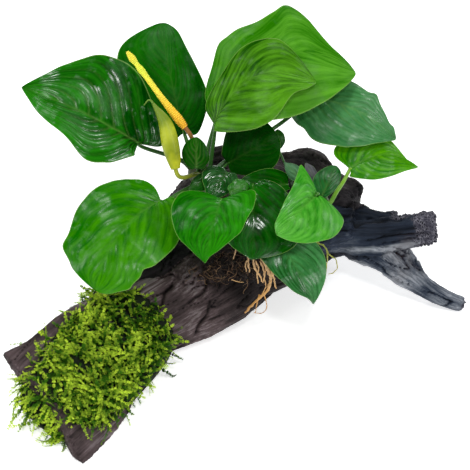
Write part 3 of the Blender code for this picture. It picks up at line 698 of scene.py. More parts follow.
def leaf_faces(steps, across):
    """The faces of two skins, one above the other, and of the rims that join them."""
    count = (steps + 1) * across
    faces = []
    for i in range(steps):
        for j in range(across - 1):
            a = i * across + j
            quad = (a, a + across, a + across + 1, a + 1)
            faces.append(quad[::-1])
            faces.append(tuple(k + count for k in quad))
        for j in (0, across - 1):
            a = i * across + j
            b = a + across
            rim = (a, b, b + count, a + count)
            faces.append(rim[::-1] if j else rim)
    return faces


def leaf_blade(leaf):
    """A thin closed blade, quilted between its veins: points, faces, and marks for its material."""
    steps, lanes = (SMALL_LEAF_STEPS, SMALL_LEAF_LANES) if leaf.small else (LEAF_STEPS, LEAF_LANES)
    surface = leaf_surface(leaf, steps, lanes)
    along, out, rise, row, lane, share = surface
    relief, lines, fullness = leaf_relief(leaf, surface)
    flat = np.stack([along, out, rise + relief], axis=-1)
    half = (BLADE_THICKNESS * (1 - share ** 3) + MARGIN_THICKNESS * share ** 3) / 2
    from_rib = out - out[:, lanes:lanes + 1]
    keel = RIB_KEEL * np.exp(-(from_rib / RIB_WIDTH) ** 2) * (1 - 0.7 * row)
    axes = np.array(leaf_axes(leaf))
    skins = []
    for lift in (half, -half - keel):
        skin = flat.copy()
        skin[..., 2] += lift
        skins.append((skin @ axes + np.array(leaf.base, dtype=float)).reshape(-1, 3))
    toward = FINISHES[leaf.name].toward
    # The tone mark is painted light and shade: from the shaded green towards the lit one, lighter on
    # the cushions between veins and darker along them.
    tone = toward[0] * (row - 0.5) + toward[1] * 0.5 * lane + 0.5 + VEIN_SHADE * fullness
    marks = {"vein": lines, "margin": share + 0 * row, "tone": tone,
             "skin_along": vein_phase(leaf, surface),
             "skin_across": SKIN_STRETCH * lane + 0 * row}
    return np.vstack(skins), leaf_faces(steps, 2 * lanes + 1), marks


def rhizome_point(branch, part):
    """A point on the rhizome's middle line, at a share of the way along a branch."""
    route = RHIZOME_LEFT if branch == "left" else RHIZOME_RIGHT
    return Vector(smooth_path(route, RHIZOME_STEPS + 1)[round(part * RHIZOME_STEPS)])


def bezier(a, b, c, d, count):
    """Points along a cubic curve."""
    result = []
    for i in range(count):
        t = i / (count - 1)
        s = 1 - t
        result.append(a * s ** 3 + b * 3 * s * s * t + c * 3 * s * t * t + d * t ** 3)
    return result


def stem_path(root, end, under, count):
    """From beside the rhizome up to the blade."""
    centre = rhizome_point(*root)
    rise = end - centre
    start_way = Vector((rise.x * STEM_SPREAD, rise.y * STEM_SPREAD,
                        max(rise.z * STEM_LEAN, STEM_MIN_RISE))).normalized()
    start = centre + start_way * (RHIZOME_RADIUS + STEM_SET_OFF)
    stop = end - under * (LEAF_THICKNESS / 2 + STEM_GAP)
    pull = (stop - start).length * STEM_PULL
    curve = bezier(start, start + start_way * pull, stop - under * pull, stop, count - 1)
    return [centre + start_way * RHIZOME_RADIUS * 0.6] + curve


def leaf_stem(leaf):
    """A leaf's stem, from the rhizome into the thick end of the midrib."""
    ahead, _, up = leaf_axes(leaf)
    path = stem_path(leaf.root, Vector(leaf.base), up, STEM_STEPS)
    if leaf.name in STEM_TURNS:
        path = list(smooth_path((*STEM_TURNS[leaf.name], tuple(path[-1])), STEM_STEPS))
    path.append(Vector(leaf.base) - up * 0.4 + ahead * 0.8)
    path.append(Vector(leaf.base) - up * 0.2 + ahead * 3.0)
    radius = STEM_RADIUS * (SMALL_STEM_SHARE if leaf.small else 1.0)
    radii = []
    for i in range(len(path)):
        part = i / (len(path) - 1)
        sheath = 1 + 0.5 * max(0.0, 1 - part * 5) ** 2
        radii.append(radius * (1 - STEM_TAPER * part) * sheath)
    radii[-1] *= 0.35
    radii[-2] *= 0.7
    return tube(path, radii, STEM_SIDES)


def leaf_material(leaf):
    """Living leaf: a thin waxed skin over soft green, so it shines smoothly, with paler veins."""
    finish = FINISHES[leaf.name]
    made, tree, shader = new_material("waxed_leaf_" + leaf.name)
    place = add(tree, "ShaderNodeTexCoord").outputs["Object"]
    tone, along, across, vein, margin, under = (
        add(tree, "ShaderNodeAttribute", {"attribute_name": name}).outputs["Fac"]
        for name in ("tone", "skin_along", "skin_across", "vein", "margin", "under"))
    # Uneven green: streaks of about 12 by 7 mm that run along the side veins and break up finely.
    skin = add(tree, "ShaderNodeCombineXYZ", None, {0: along, 1: across, 2: 3.7 * len(leaf.name)})
    patches = add(tree, "ShaderNodeTexNoise", None,
                  {"Vector": skin, "Scale": 1.3, "Detail": 6.0, "Roughness": 0.64})
    uneven = add(tree, "ShaderNodeMath", {"operation": "MULTIPLY_ADD"},
                 {0: patches, 1: 2.6, 2: -1.33})
    level = add(tree, "ShaderNodeMath", {"operation": "ADD", "use_clamp": True},
                {0: uneven, 1: tone})
    # Painted light and shade: the tone mark runs from the shaded green to the lit green, and the
    # streaks vary it at random.
    green = add(tree, "ShaderNodeMix", {"data_type": "RGBA"},
                {0: level, 6: finish.shade, 7: finish.light})
    # The midrib and side veins are paler, and so is a thin line along the margin.
    rim = add(tree, "ShaderNodeMapRange", None, {0: margin, 1: 0.975, 2: 0.995, 3: 0.0, 4: 0.55})
    fibres = add(tree, "ShaderNodeMath", {"operation": "MULTIPLY"}, {0: vein, 1: finish.pale * 3})
    lines = add(tree, "ShaderNodeMath", {"operation": "MAXIMUM", "use_clamp": True},
                {0: fibres, 1: rim})
    veined = add(tree, "ShaderNodeMix", {"data_type": "RGBA"},
                 {0: lines, 6: green.outputs[2], 7: "#8DB85A"})
    # The underside has no wax and is paler.
    colour = add(tree, "ShaderNodeMix", {"data_type": "RGBA"},
                 {0: under, 6: veined.outputs[2], 7: "#4E7F3C"})
    gloss = add(tree, "ShaderNodeMapRange", None,
                {0: patches, 1: 0.3, 2: 0.7, 3: finish.rough - 0.06, 4: finish.rough + 0.08})
    # The wax is whole in some places and worn in others, 20 mm across, so the shine is patchy.
    worn = add(tree, "ShaderNodeTexNoise", None,
               {"Vector": place, "Scale": 50.0, "Detail": 4.0, "Roughness": 0.65})
    wax = add(tree, "ShaderNodeMapRange", None,
              {0: worn, 1: 0.45, 2: 0.60, 3: 0.0, 4: WAX_SHINE.get(leaf.name, 0.5)})
    # The skin's cells and cross veins, drawn 2 mm apart so that they show.
    fine = add(tree, "ShaderNodeTexNoise", None, {"Vector": place, "Scale": 480.0, "Detail": 1.0})
    bump = add(tree, "ShaderNodeBump", None, {"Strength": 0.3, "Distance": 0.00015, "Height": fine})
    connect(tree, shader, {"Base Color": colour.outputs[2], "Roughness": gloss, "IOR": 1.42,
                           "Specular IOR Level": wax, "Normal": bump})
    return made


def build_leaf(leaf, stem_finish):
    """A leaf and its stem as one piece."""
    points, faces, marks = leaf_blade(leaf)
    stem_points, stem_faces = leaf_stem(leaf)
    blade_points = len(points)
    blade_faces = len(faces)
    piece = mesh_piece("anubias_leaf_" + leaf.name,
                       *join_shells([(points, faces), (stem_points, stem_faces)]))
    under = np.zeros(len(piece.data.vertices))
    under[blade_points // 2:blade_points] = UNDERSIDE_SHARE
    give_attribute(piece, "under", under)
    for name, values in marks.items():
        skin = values.ravel()
        give_attribute(piece, name, np.concatenate([skin, skin, np.zeros(len(stem_points))]))
    up_the_stem = np.linspace(0, 1, len(stem_points))
    give_attribute(piece, "level", np.concatenate([np.zeros(blade_points), up_the_stem]))
    piece.data.materials.append(leaf_material(leaf))
    piece.data.materials.append(stem_finish)
    kinds = np.repeat(np.array([0, 1], dtype=np.int32), [blade_faces, len(stem_faces)])
    piece.data.polygons.foreach_set("material_index", kinds)
    work = bmesh.new()
    work.from_mesh(piece.data)
    bmesh.ops.remove_doubles(work, verts=work.verts, dist=MERGE_DISTANCE)
    work.to_mesh(piece.data)
    work.free()
    piece.data.shade_smooth()
    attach(piece, "root")
    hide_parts("leaf_" + leaf.name, "stem_" + leaf.name)


# Driftwood


def limb_frames():
    """Short straight lengths of every limb's middle line, with the length of grain before each."""
    lengths = []
    for number, line in enumerate(GRAIN_LINES):
        done = 0.0
        for a, b in zip(line, line[1:]):
            a, b = np.array(a, float), np.array(b, float)
            reach = np.linalg.norm(b - a)
            lengths.append((number, a, (b - a) / reach, reach, done))
            done += reach
    return lengths


def grain_places(points):
    """Each point's place in the grain of the limb it is nearest to: along, and two ways across."""
    best = np.full(len(points), np.inf)
    place = np.zeros((len(points), 3))
    ways = np.zeros((len(points), 3))
    limbs = np.zeros(len(points), dtype=int)
    for number, start, way, reach, done in limb_frames():
        off = points - start
        along = off @ way
        apart = off - np.clip(along, 0, reach)[:, None] * way
        distance = np.linalg.norm(apart, axis=1)
        side = np.cross(way, (0.0, 0.0, 1.0)) if abs(way[2]) < 0.9 else np.array((1.0, 0.0, 0.0))
        side = side / np.linalg.norm(side)
        other = np.cross(way, side)
        closer = distance < best
        best = np.where(closer, distance, best)
        here = np.stack([done + along, off @ side + GRAIN_OFFSET * number, off @ other], axis=1)
        place[closer] = here[closer]
        ways[closer] = way
        limbs[closer] = number
    return place, ways, limbs


def gap_from(point, head, foot):
    """How far a point in the grain is from a crack, which wavers between its two ends."""
    run = (foot[0] - head[0], foot[1] - head[1])
    off = (point[0] - head[0], point[1] - head[1])
    part = (off[0] * run[0] + off[1] * run[1]) / (run[0] ** 2 + run[1] ** 2)
    part = min(max(part, 0.0), 1.0)
    waver = CRACK_WAVER * math.sin(part * 11 + head[0])
    return math.hypot(off[0] - run[0] * part, off[1] - run[1] * part - waver)


def end_grain(layout, normals, grain, ways, limbs):
    """How much of each point is bare end grain, from 0 to 1."""
    reaches = np.zeros(len(GRAIN_LINES))
    for number, _, _, reach, done in limb_frames():
        reaches[number] = done + reach
    bare = np.array([END_LENGTHS.get(limb, 0.0) for limb in range(len(GRAIN_LINES))])[limbs]
    ragged = np.array([noise.noise(Vector(p) * 0.25) for p in layout])
    inside = reaches[limbs] - bare - grain[:, 0] - 5 * ragged
    end = np.clip(0.5 - inside / 2.0, 0, 1) * (bare > 0)
    facing = np.abs((normals * ways).sum(axis=1))
    sawn = np.clip((facing - 0.45) * 5, 0, 1)
    return end * np.where(np.isin(limbs, BROKEN_LIMBS), 1.0, sawn)


def grain_noise(place, along_scale, across_scale, shift):
    """Random waves in the grain, drawn out along it."""
    s, a, b = place
    return noise.noise(Vector((s * along_scale + shift, a * across_scale, b * across_scale)))


def wood_relief(layout, grain, limbs, end, tangle):
    """How far the weathered skin stands off the plain wood in mm."""
    relief = np.zeros(len(layout))
    for i, place in enumerate(grain):
        lump = grain_noise(place, 0.035, 0.07, 0)
        fold = grain_noise(place, 0.030, 0.20, 9)
        split = abs(grain_noise(place, 0.016, 0.12, 20))
        fibre = grain_noise(place, 0.06, 0.60, 3)
        relief[i] = (2.0 * lump - 2.6 * abs(fold) - 1.1 * abs(fibre)) * RELIEF_SHARES[limbs[i]]
        relief[i] -= CRACK_DEPTH * max(0.0, 1 - split / CRACK_SHARE)
        for limb, head, foot in CRACKS:
            if limbs[i] == limb and place[2] < CRACK_BELOW:
                gap = gap_from(place, head, foot) / CRACK_WIDTH
                relief[i] -= CRACK_DEPTH * math.exp(-gap ** 2)
        if end[i] > 0:
            relief[i] += end[i] * (END_PITS * two_scales(layout[i], 0.55, 1.3, 0.7) - 0.4)
        if tangle[i] > 0:
            relief[i] += tangle[i] * (2.2 * two_scales(layout[i], 0.30, 0.8, 0.8) + 1.0)
    return relief


def wood_tone(relief, grain, limbs):
    """How pale the raised grain is, partly weathered grey and partly painted highlight, with a
    painted highlight along the lower side of one arm.
    """
    along = grain[:, 0]
    fading = np.clip((along - 50) / 34, 0.35, 1)
    paleness = np.array(PALENESS)[limbs] * np.where(limbs == SLAB_LIMB, fading, 1)
    # Raised grain is painted paler and grooves darker: partly the wood's weathered grey, partly
    # painted highlight on the ridges and painted shade in the grooves.
    ridge = np.clip(0.55 + (relief - relief.mean()) / 4.0, 0, 1) * paleness
    # A painted highlight along the lower side of one arm, placed by its height as seen from the
    # front.
    height, gain, spread, strength = HIGHLIGHT_BAND
    seen = -(grain[:, 1] - GRAIN_OFFSET * HIGHLIT_LIMB + grain[:, 2]) * VIEW_SHARE
    seen = seen - height - gain * np.clip(along / 90, 0, 1)
    band = strength * np.exp(-(seen / spread) ** 2) * (limbs == HIGHLIT_LIMB)
    return ridge + band * np.clip((along - 10) / 25, 0, 1)


def build_driftwood():
    """The six pieces of wood as one skin, with weathered grain along every limb."""
    piece = remeshed_nodes("driftwood", WOOD_NODES, WOOD_VOXEL, 3)
    layout, normals = layout_places(piece.data), vertex_normals(piece.data)
    grain, ways, limbs = grain_places(layout)
    end = end_grain(layout, normals, grain, ways, limbs)
    mass = (layout - np.array(TANGLE_MIDDLE)) / np.array(TANGLE_REACH)
    tangle = np.clip(2.0 - 2.0 * np.linalg.norm(mass, axis=1), 0, 1)
    relief = wood_relief(layout, grain, limbs, end, tangle)
    lift = relief - np.percentile(relief, WOOD_LEVEL)
    held = np.clip((layout[:, 2] - 1.0) / 6.0, 0.0, 1.0)
    moved = layout + normals * (lift * held)[:, None]
    for middle, reach, shift in WOOD_PULLS:
        off = np.linalg.norm(layout - np.array(middle, float), axis=1) / reach
        moved += np.exp(-(off ** 2))[:, None] * np.array(shift)
    moved[:, 2] = np.maximum(moved[:, 2], 0.0)
    set_places(piece.data, moved)
    piece.data.shade_smooth()
    give_attribute(piece, "ridge", wood_tone(relief, grain, limbs))
    give_attribute(piece, "end", end)
    give_attribute(piece, "tangle", tangle)
    give_attribute(piece, "grey", np.array(GREYNESS)[limbs])
    made = piece.data.attributes.new("grain", "FLOAT_VECTOR", "POINT")
    made.data.foreach_set("vector", grain.astype(np.float32).ravel())
    finish_piece(piece, driftwood_material(), "driftwood", *WOOD_NODES)
    return piece


def driftwood_material():
    """Driftwood, weathered under water: charcoal in the grooves, partly painted shade, and grey along
    the raised grain, partly painted highlight.
    """
    made, tree, shader = new_material("weathered_driftwood")
    place = add(tree, "ShaderNodeTexCoord").outputs["Object"]
    ridge, grey, end, tangle = (
        add(tree, "ShaderNodeAttribute", {"attribute_name": name}).outputs["Fac"]
        for name in ("ridge", "grey", "end", "tangle"))
    # Grain lines 1.5 mm apart, coarser than the real ones so that they show, and drawn out
    # thirty times along the limb.
    grain = add(tree, "ShaderNodeAttribute", {"attribute_name": "grain"})
    stretched = add(tree, "ShaderNodeVectorMath", {"operation": "MULTIPLY"},
                    {0: grain.outputs["Vector"], 1: (0.033, 1.0, 1.0)})
    lines = add(tree, "ShaderNodeTexNoise", None,
                {"Vector": stretched, "Scale": 0.65, "Detail": 5.0, "Roughness": 0.7})
    sharp = add(tree, "ShaderNodeMapRange", None, {0: lines, 1: 0.32, 2: 0.68, 3: 0.45, 4: 1.0})
    # Stains 30 mm across, lighter and darker.
    stains = add(tree, "ShaderNodeTexNoise", None,
                 {"Vector": place, "Scale": 30.0, "Detail": 4.0, "Roughness": 0.6})
    patch = add(tree, "ShaderNodeMapRange", None, {0: stains, 1: 0.35, 2: 0.65, 3: 0.55, 4: 1.30})
    tone = add(tree, "ShaderNodeMath", {"operation": "MULTIPLY"}, {0: sharp, 1: ridge})
    tone = add(tree, "ShaderNodeMath", {"operation": "MULTIPLY"}, {0: tone, 1: patch})
    # The pale upper stops of both ramps, reached on the raised grain, are partly painted highlight.
    charcoal, blue_grey = (
        add(tree, "ShaderNodeValToRGB", {"stops": stops}, {0: tone})
        for stops in (((0.05, "#0A0808"), (0.32, "#352C2C"), (0.62, "#594B4C"), (0.9, "#8A7E80")),
                      ((0.03, "#040A14"), (0.28, "#2A3648"), (0.55, "#747C86"), (0.85, "#B0B6BE"))))
    wood = add(tree, "ShaderNodeMix", {"data_type": "RGBA"}, {0: grey, 6: charcoal, 7: blue_grey})
    brown = add(tree, "ShaderNodeMapRange", None, {0: stains, 1: 0.52, 2: 0.70, 3: 0.0, 4: 0.45})
    # End grain: pores 2 mm apart, black in pale rims, and worn away in patches.
    pores = add(tree, "ShaderNodeTexVoronoi", {"feature": "DISTANCE_TO_EDGE"},
                {"Vector": place, "Scale": 480.0})
    pored = add(tree, "ShaderNodeValToRGB",
                {"stops": ((0.0, "#A09EA8"), (0.08, "#55535E"), (0.26, "#0B0A10"))}, {0: pores})
    rubbed = add(tree, "ShaderNodeTexNoise", None, {"Vector": place, "Scale": 260.0, "Detail": 3.0})
    rubbed = add(tree, "ShaderNodeMapRange", None, {0: rubbed, 1: 0.42, 2: 0.62, 3: 0.1, 4: 0.95})
    end_wood = add(tree, "ShaderNodeMix", {"data_type": "RGBA"},
                   {0: rubbed, 6: pored, 7: "#454450"})
    # Where roots are matted on the wood it is nearly black, with brown specks.
    specks = add(tree, "ShaderNodeTexNoise", None, {"Vector": place, "Scale": 320.0, "Detail": 2.0})
    matted = add(tree, "ShaderNodeValToRGB",
                 {"stops": ((0.45, "#040302"), (0.62, "#120C08"), (0.74, "#503524"))}, {0: specks})
    for share, cover in ((brown, "#33241F"), (end, end_wood.outputs[2]), (tangle, matted)):
        wood = add(tree, "ShaderNodeMix", {"data_type": "RGBA"},
                   {0: share, 6: wood.outputs[2], 7: cover})
    bump = add(tree, "ShaderNodeBump", None, {"Strength": 0.9, "Distance": 0.0016, "Height": lines})
    connect(tree, shader, {"Base Color": wood.outputs[2], "Roughness": 0.55, "IOR": 1.45,
                           "Specular IOR Level": 0.15, "Normal": bump})
    return made


def hair_source(name, reach, radius):
    """One thin crooked root, for matting together: a three-sided tube that wanders."""
    count = 9
    path = []
    for i in range(count):
        t = i / (count - 1)
        path.append(reach * Vector((t, 0.16 * math.sin(5.5 * t), 0.22 * math.sin(3.0 * t))))
    radii = [radius * (1 - 0.5 * i / count) for i in range(count)]
    return small_source(name, *tube(path, radii, 3))


def build_tangle(wood):
    """The dark mat of fine roots on the trunk, under the front leaves."""
    count = len(wood.data.vertices)
    give_attribute(wood, "flow", np.zeros(count))
    give_attribute(wood, "hold", np.ones(count))
    finish = fibre_material()
    mat = scatter(MATTED_ROOTS, wood, hair_source("fine_root", MATTED_ROOTS.reach, 0.22), finish)
    finish_piece(mat, finish, "root")


def fibre_material():
    """Old fine roots, dry and rough: dark brown, a few of them tan."""
    made, tree, shader = new_material("old_root_fibre")
    shade = add(tree, "ShaderNodeAttribute", {"attribute_name": "shade"})
    colour = add(tree, "ShaderNodeValToRGB",
                 {"stops": ((0.0, "#060403"), (0.50, "#1A110B"), (0.80, "#563C28"),
                            (1.0, "#A88460"))}, {0: shade.outputs["Fac"]})
    connect(tree, shader, {"Base Color": colour, "Roughness": 0.7})
    return made


# What is set over a surface


def scatter_tree(growth, finish):
    """A Geometry Nodes tree that sets copies of a source over a surface, turned at random.

    Its inputs are the source, how many stand on a square metre, the least and greatest lean
    from the surface's normal, the least and greatest size, and the seed.
    """
    tree = bpy.data.node_groups.new(growth.name, "GeometryNodeTree")
    for label, kind in (("Surface", "Geometry"), ("Source", "Object"), ("Density", "Float"),
                        ("Least lean", "Float"), ("Greatest lean", "Float"),
                        ("Least size", "Float"), ("Greatest size", "Float"), ("Seed", "Int")):
        tree.interface.new_socket(label, in_out="INPUT", socket_type="NodeSocket" + kind)
    tree.interface.new_socket("Pieces", in_out="OUTPUT", socket_type="NodeSocketGeometry")
    given = add(tree, "NodeGroupInput").outputs
    cover, flow, hold = (
        add(tree, "GeometryNodeInputNamedAttribute", {"data_type": "FLOAT"}, {"Name": name})
        for name in (growth.cover, "flow", "hold"))
    thick = add(tree, "ShaderNodeMath", {"operation": "MULTIPLY"}, {0: given["Density"], 1: cover})
    spots = add(tree, "GeometryNodeDistributePointsOnFaces", {"distribute_method": "RANDOM"},
                {"Mesh": given["Surface"], "Density": thick, "Seed": given["Seed"]})
    source = add(tree, "GeometryNodeObjectInfo", None, {"Object": given["Source"]})
    spin, lean, size, shade = (
        add(tree, "FunctionNodeRandomValue", {"data_type": "FLOAT"},
            {2: least, 3: greatest, "Seed": seed}).outputs[1]
        for least, greatest, seed in (
            (-math.pi, math.pi, given["Seed"]),
            (given["Least lean"], given["Greatest lean"], 5),
            (given["Least size"], given["Greatest size"], 9),
            (0.0, 1.0, 3)))
    loose = add(tree, "ShaderNodeMath", {"operation": "MULTIPLY"}, {0: spin, 1: hold})
    heading = add(tree, "ShaderNodeMath", {"operation": "ADD"}, {0: flow, 1: loose})
    way = add(tree, "FunctionNodeAlignRotationToVector", {"axis": "Z"},
              {"Vector": spots.outputs["Normal"]})
    # First the turn about the normal, then the lean away from it.
    for axis, angle in ((2, heading), (1, lean)):
        turn = add(tree, "ShaderNodeCombineXYZ", None, {axis: angle})
        turn = add(tree, "FunctionNodeEulerToRotation", None, {0: turn})
        way = add(tree, "FunctionNodeRotateRotation", {"rotation_space": "LOCAL"},
                  {0: way, 1: turn})
    copies = add(tree, "GeometryNodeInstanceOnPoints", None,
                 {"Points": spots.outputs["Points"], "Instance": source.outputs["Geometry"],
                  "Rotation": way, "Scale": size})
    marked = add(tree, "GeometryNodeStoreNamedAttribute",
                 {"data_type": "FLOAT", "domain": "INSTANCE"},
                 {"Geometry": copies, "Name": "shade", "Value": shade})
    real = add(tree, "GeometryNodeRealizeInstances", None, {"Geometry": marked})
    done = add(tree, "GeometryNodeSetMaterial", None, {"Geometry": real, "Material": finish})
    add(tree, "NodeGroupOutput", None, {0: done})
    return tree


def grow(name, surface, tree, values):
    """Runs a Geometry Nodes tree on a copy of a surface and keeps the result as a plain piece."""
    piece = new_object(name, surface.data.copy())
    step = piece.modifiers.new("grow", "NODES")
    step.node_group = tree
    for item in tree.interface.items_tree:
        if item.item_type == "SOCKET" and item.in_out == "INPUT" and item.name in values:
            step[item.identifier] = values[item.name]
    take_evaluated(piece)
    return piece


def scatter(growth, surface, source, finish):
    """Sets copies of a source over a surface and removes the source."""
    piece = grow(growth.name, surface, scatter_tree(growth, finish),
                 {"Source": source, "Density": growth.density, "Seed": growth.seed,
                  "Least lean": growth.lean[0], "Greatest lean": growth.lean[1],
                  "Least size": growth.size[0], "Greatest size": growth.size[1]})
    bpy.data.objects.remove(source, do_unlink=True)
    keep_above_ground(piece)
    return piece


# Moss


def frond_source(name, reach, droop, pairs):
    """One moss shoot along +X that rises and droops: a thin stem with two ranks of leaflets."""
    def spot_at(t):
        return Vector((reach * t, 0.0, reach * (0.42 * t - droop * t * t)))

    bends = 5
    sides = 3
    side, other = Vector((0, 1, 0)), Vector((0, 0, 1))
    points, tips = [], []
    for i in range(bends + 1):
        radius = 0.28 * (1 - 0.7 * i / bends)
        spot = spot_at(i / bends)
        points += [spot + spoke(side, other, j / sides) * radius for j in range(sides)]
        tips += [i / bends] * sides
    faces = ring_faces(bends + 1, sides) + end_faces(bends + 1, sides)
    for i in range(pairs):
        t = (i + 0.7) / pairs
        spot = spot_at(t)
        long = FROND_LEAFLET * (1.15 - 0.55 * t) * (0.75 + 0.25 * math.sin(i * 2.4))
        for sign in (-1, 1):
            way = Vector((0.80, sign * 0.55, 0.22 * math.cos(i * 1.9))).normalized()
            broad = way.cross(Vector((0, 0, 1))).normalized() * long * 0.27
            lift = Vector((0, 0, 0.18 * long))
            start = len(points)
            points += [spot, spot + way * long * 0.5 + broad + lift, spot + way * long,
                       spot + way * long * 0.5 - broad + lift]
            tips += [t, t + 0.1, t + 0.2, t + 0.1]
            faces.append((start, start + 1, start + 2, start + 3))
    source = small_source(name, points, faces)
    give_attribute(source, "tip", tips)
    return source


def moss_bed():
    """The mat that the shoots grow from: the moss solid, taken in by the shoots' height."""
    bed = remeshed_nodes("moss_bed", ("moss_patch",), MOSS_VOXEL, 4)
    layout, normals = layout_places(bed.data), vertex_normals(bed.data)
    along = np.array(MOSS_ALONG) / np.linalg.norm(MOSS_ALONG)
    across = np.array(MOSS_ACROSS) - along * np.dot(MOSS_ACROSS, along)
    across = across / np.linalg.norm(across)
    up = np.cross(across, along)
    off = layout - np.array(MOSS_MIDDLE, float)
    x, y = off @ along / MOSS_HALF_LENGTH, off @ across / MOSS_HALF_WIDTH
    rim = np.clip((np.abs(x) ** 3 + np.abs(y) ** 3) ** (1 / 3), 0, 1.2)
    facing = normals @ up
    lift = 2.4 * np.array([two_scales(p, 0.09, 0.22, 0.6) for p in layout]) - MOSS_SHOOT_HEIGHT
    inward = -along * x[:, None] - across * y[:, None]
    layout = layout + up * (lift * np.clip(facing + 0.3, 0, 1))[:, None]
    layout = layout + inward * (5.0 * rim ** 3)[:, None]
    set_places(bed.data, layout)
    keep_above_ground(bed)
    bed.data.shade_smooth()
    # The cover is thin in places near the slab's lower end, and ends short of the right edge.
    bare = np.array([noise.noise(Vector((p[0] * 0.05, p[1] * 0.05, 4.0))) for p in layout])
    low_end = np.clip((-x - 0.25) * 1.6, 0, 1)
    cover = np.clip(1.15 - low_end * np.clip(bare * 3 + 0.75, 0, 1.0), 0, 1)
    cover = cover * np.clip((facing + 0.25) * 3, 0, 1)
    cover = cover * np.clip((0.86 - 0.15 * x - y) * 6, 0, 1) * np.clip((x + 0.98) * 5, 0, 1)
    clumps = np.array([noise.noise(Vector(p) * 0.16) for p in layout])
    trailing = np.clip(0.25 + 1.2 * low_end + 0.8 * (rim - 0.75), 0, 1)
    give_attribute(bed, "cover", cover * np.clip(0.95 + 1.6 * clumps, 0.15, 1))
    give_attribute(bed, "trail_cover", cover * trailing)
    # Near the slab's lower end the shoots trail down and out; in the middle they stand any way.
    loose = 1.0 - 0.75 * low_end - 0.4 * np.clip(rim - 0.7, 0, 1)
    give_attribute(bed, "flow", np.full(len(layout), MOSS_FLOW))
    give_attribute(bed, "hold", np.clip(loose, 0.2, 1))
    return bed


def moss_material(name, dark, mid, light):
    """Living moss: one cell thick and matt, painted dark inside the cushion as shade, fresh at the
    tips.
    """
    made, tree, shader = new_material(name)
    place = add(tree, "ShaderNodeTexCoord").outputs["Object"]
    tip, shade = (add(tree, "ShaderNodeAttribute", {"attribute_name": mark}).outputs["Fac"]
                  for mark in ("tip", "shade"))
    # Patches of older growth about 20 mm across.
    age = add(tree, "ShaderNodeTexNoise", None, {"Vector": place, "Scale": 45.0, "Detail": 2.0})
    # Each shoot is painted darker towards its foot, as painted shade inside the cushion, and lighter
    # at its tip.
    tone = -0.50
    for mark, share in ((shade, 0.45), (tip, 0.55), (age, 0.95)):
        tone = add(tree, "ShaderNodeMath", {"operation": "MULTIPLY_ADD"},
                   {0: mark, 1: share, 2: tone})
    # On the side towards the plant the moss is painted a deeper green, as painted shade cast by the
    # plant.
    spot = add(tree, "ShaderNodeSeparateXYZ", None, {0: place})
    shaded = add(tree, "ShaderNodeMapRange", None,
                 {0: spot, 1: -0.120, 2: -0.050, 3: 0.02, 4: -0.15})
    tone = add(tree, "ShaderNodeMath", {"operation": "ADD"}, {0: tone, 1: shaded})
    colour = add(tree, "ShaderNodeValToRGB",
                 {"stops": ((0.05, dark), (0.42, mid), (0.85, light))}, {0: tone})
    connect(tree, shader, {"Base Color": colour, "Roughness": 0.6, "IOR": 1.4,
                           "Specular IOR Level": 0.2})
    return made


def build_moss():
    """The cushion of moss: a bed painted dark as shade, short tufted shoots, and long shoots that
    trail.
    """
    bed = moss_bed()
    finish = moss_material("living_moss", "#030801", "#3C7208", "#D0EC44")
    shoots = []
    for growth, droop, pairs in ((MOSS_TUFTS, 0.48, 11), (MOSS_TRAILS, 0.50, 17)):
        source = frond_source("moss_shoot", growth.reach, droop, pairs)
        shoots.append(scatter(growth, bed, source, finish))
    # The mat under the shoots is painted dark, as the shade deep in the cushion.
    finish_piece(bed, moss_material("moss_mat", "#0E1A06", "#2A400C", "#4C6A14"), "moss",
                 "moss_patch")
    for piece in shoots:
        finish_piece(piece, finish, "moss", "moss_patch")


# Flowers, creeping stem and roots


def plain_tissue(name, colours, roughness, scale, bump_height):
    """Smooth living tissue with faint mottling: a waxy skin over pale flesh."""
    made, tree, shader = new_material(name)
    place = add(tree, "ShaderNodeTexCoord").outputs["Object"]
    mottle = add(tree, "ShaderNodeTexNoise", None, {"Vector": place, "Scale": scale, "Detail": 3.0})
    level = add(tree, "ShaderNodeAttribute", {"attribute_name": "level"}).outputs["Fac"]
    tone = add(tree, "ShaderNodeMath", {"operation": "MULTIPLY_ADD"},
               {0: mottle, 1: 0.5, 2: -0.25})
    tone = add(tree, "ShaderNodeMath", {"operation": "ADD"}, {0: tone, 1: level})
    stops = [(i / (len(colours) - 1), colour) for i, colour in enumerate(colours)]
    colour = add(tree, "ShaderNodeValToRGB", {"stops": stops}, {0: tone})
    bump = add(tree, "ShaderNodeBump", None,
               {"Strength": 0.5, "Distance": bump_height * MM, "Height": mottle})
    connect(tree, shader, {"Base Color": colour, "Roughness": roughness, "IOR": 1.42,
                           "Normal": bump})
    return made


def mark_level(piece, path):
    """Marks how far each point lies from a path's start, 0, to its end, 1."""
    start, stop = np.array(path[0], float), np.array(path[-1], float)
    way = (stop - start) / np.dot(stop - start, stop - start)
    give_attribute(piece, "level", np.clip((layout_places(piece.data) - start) @ way, 0, 1))


def spadix_core():
    """The core of the open spadix, with a vertex where each floret sits."""
    rings, around = SPADIX_RINGS, SPADIX_AROUND
    radii = smooth_values(SPADIX_RADII, rings) - FLORET_RADIUS
    points, faces = [], []
    for i, (middle, side, other) in enumerate(rings_along(smooth_path(SPADIX_PATH, rings))):
        for j in range(around):
            points.append(middle + spoke(side, other, (j + 0.5 * (i % 2)) / around) * radii[i])
    for i in range(rings - 1):
        for j in range(around):
            a, b = i * around + j, i * around + (j + 1) % around
            if i % 2:
                faces += [(a, b, b + around), (a, b + around, a + around)]
            else:
                faces += [(a, b, a + around), (b, b + around, a + around)]
    return mesh_piece("spadix_core", points, faces + end_faces(rings, around))


def floret_source():
    """One floret: a low dome of a few faces."""
    mesh = bpy.data.meshes.new("floret")
    work = bmesh.new()
    bmesh.ops.create_icosphere(work, subdivisions=1, radius=FLORET_RADIUS * MM)
    for vert in work.verts:
        vert.co.z *= 0.7
    work.to_mesh(mesh)
    work.free()
    mesh.shade_smooth()
    return new_object("floret", mesh)


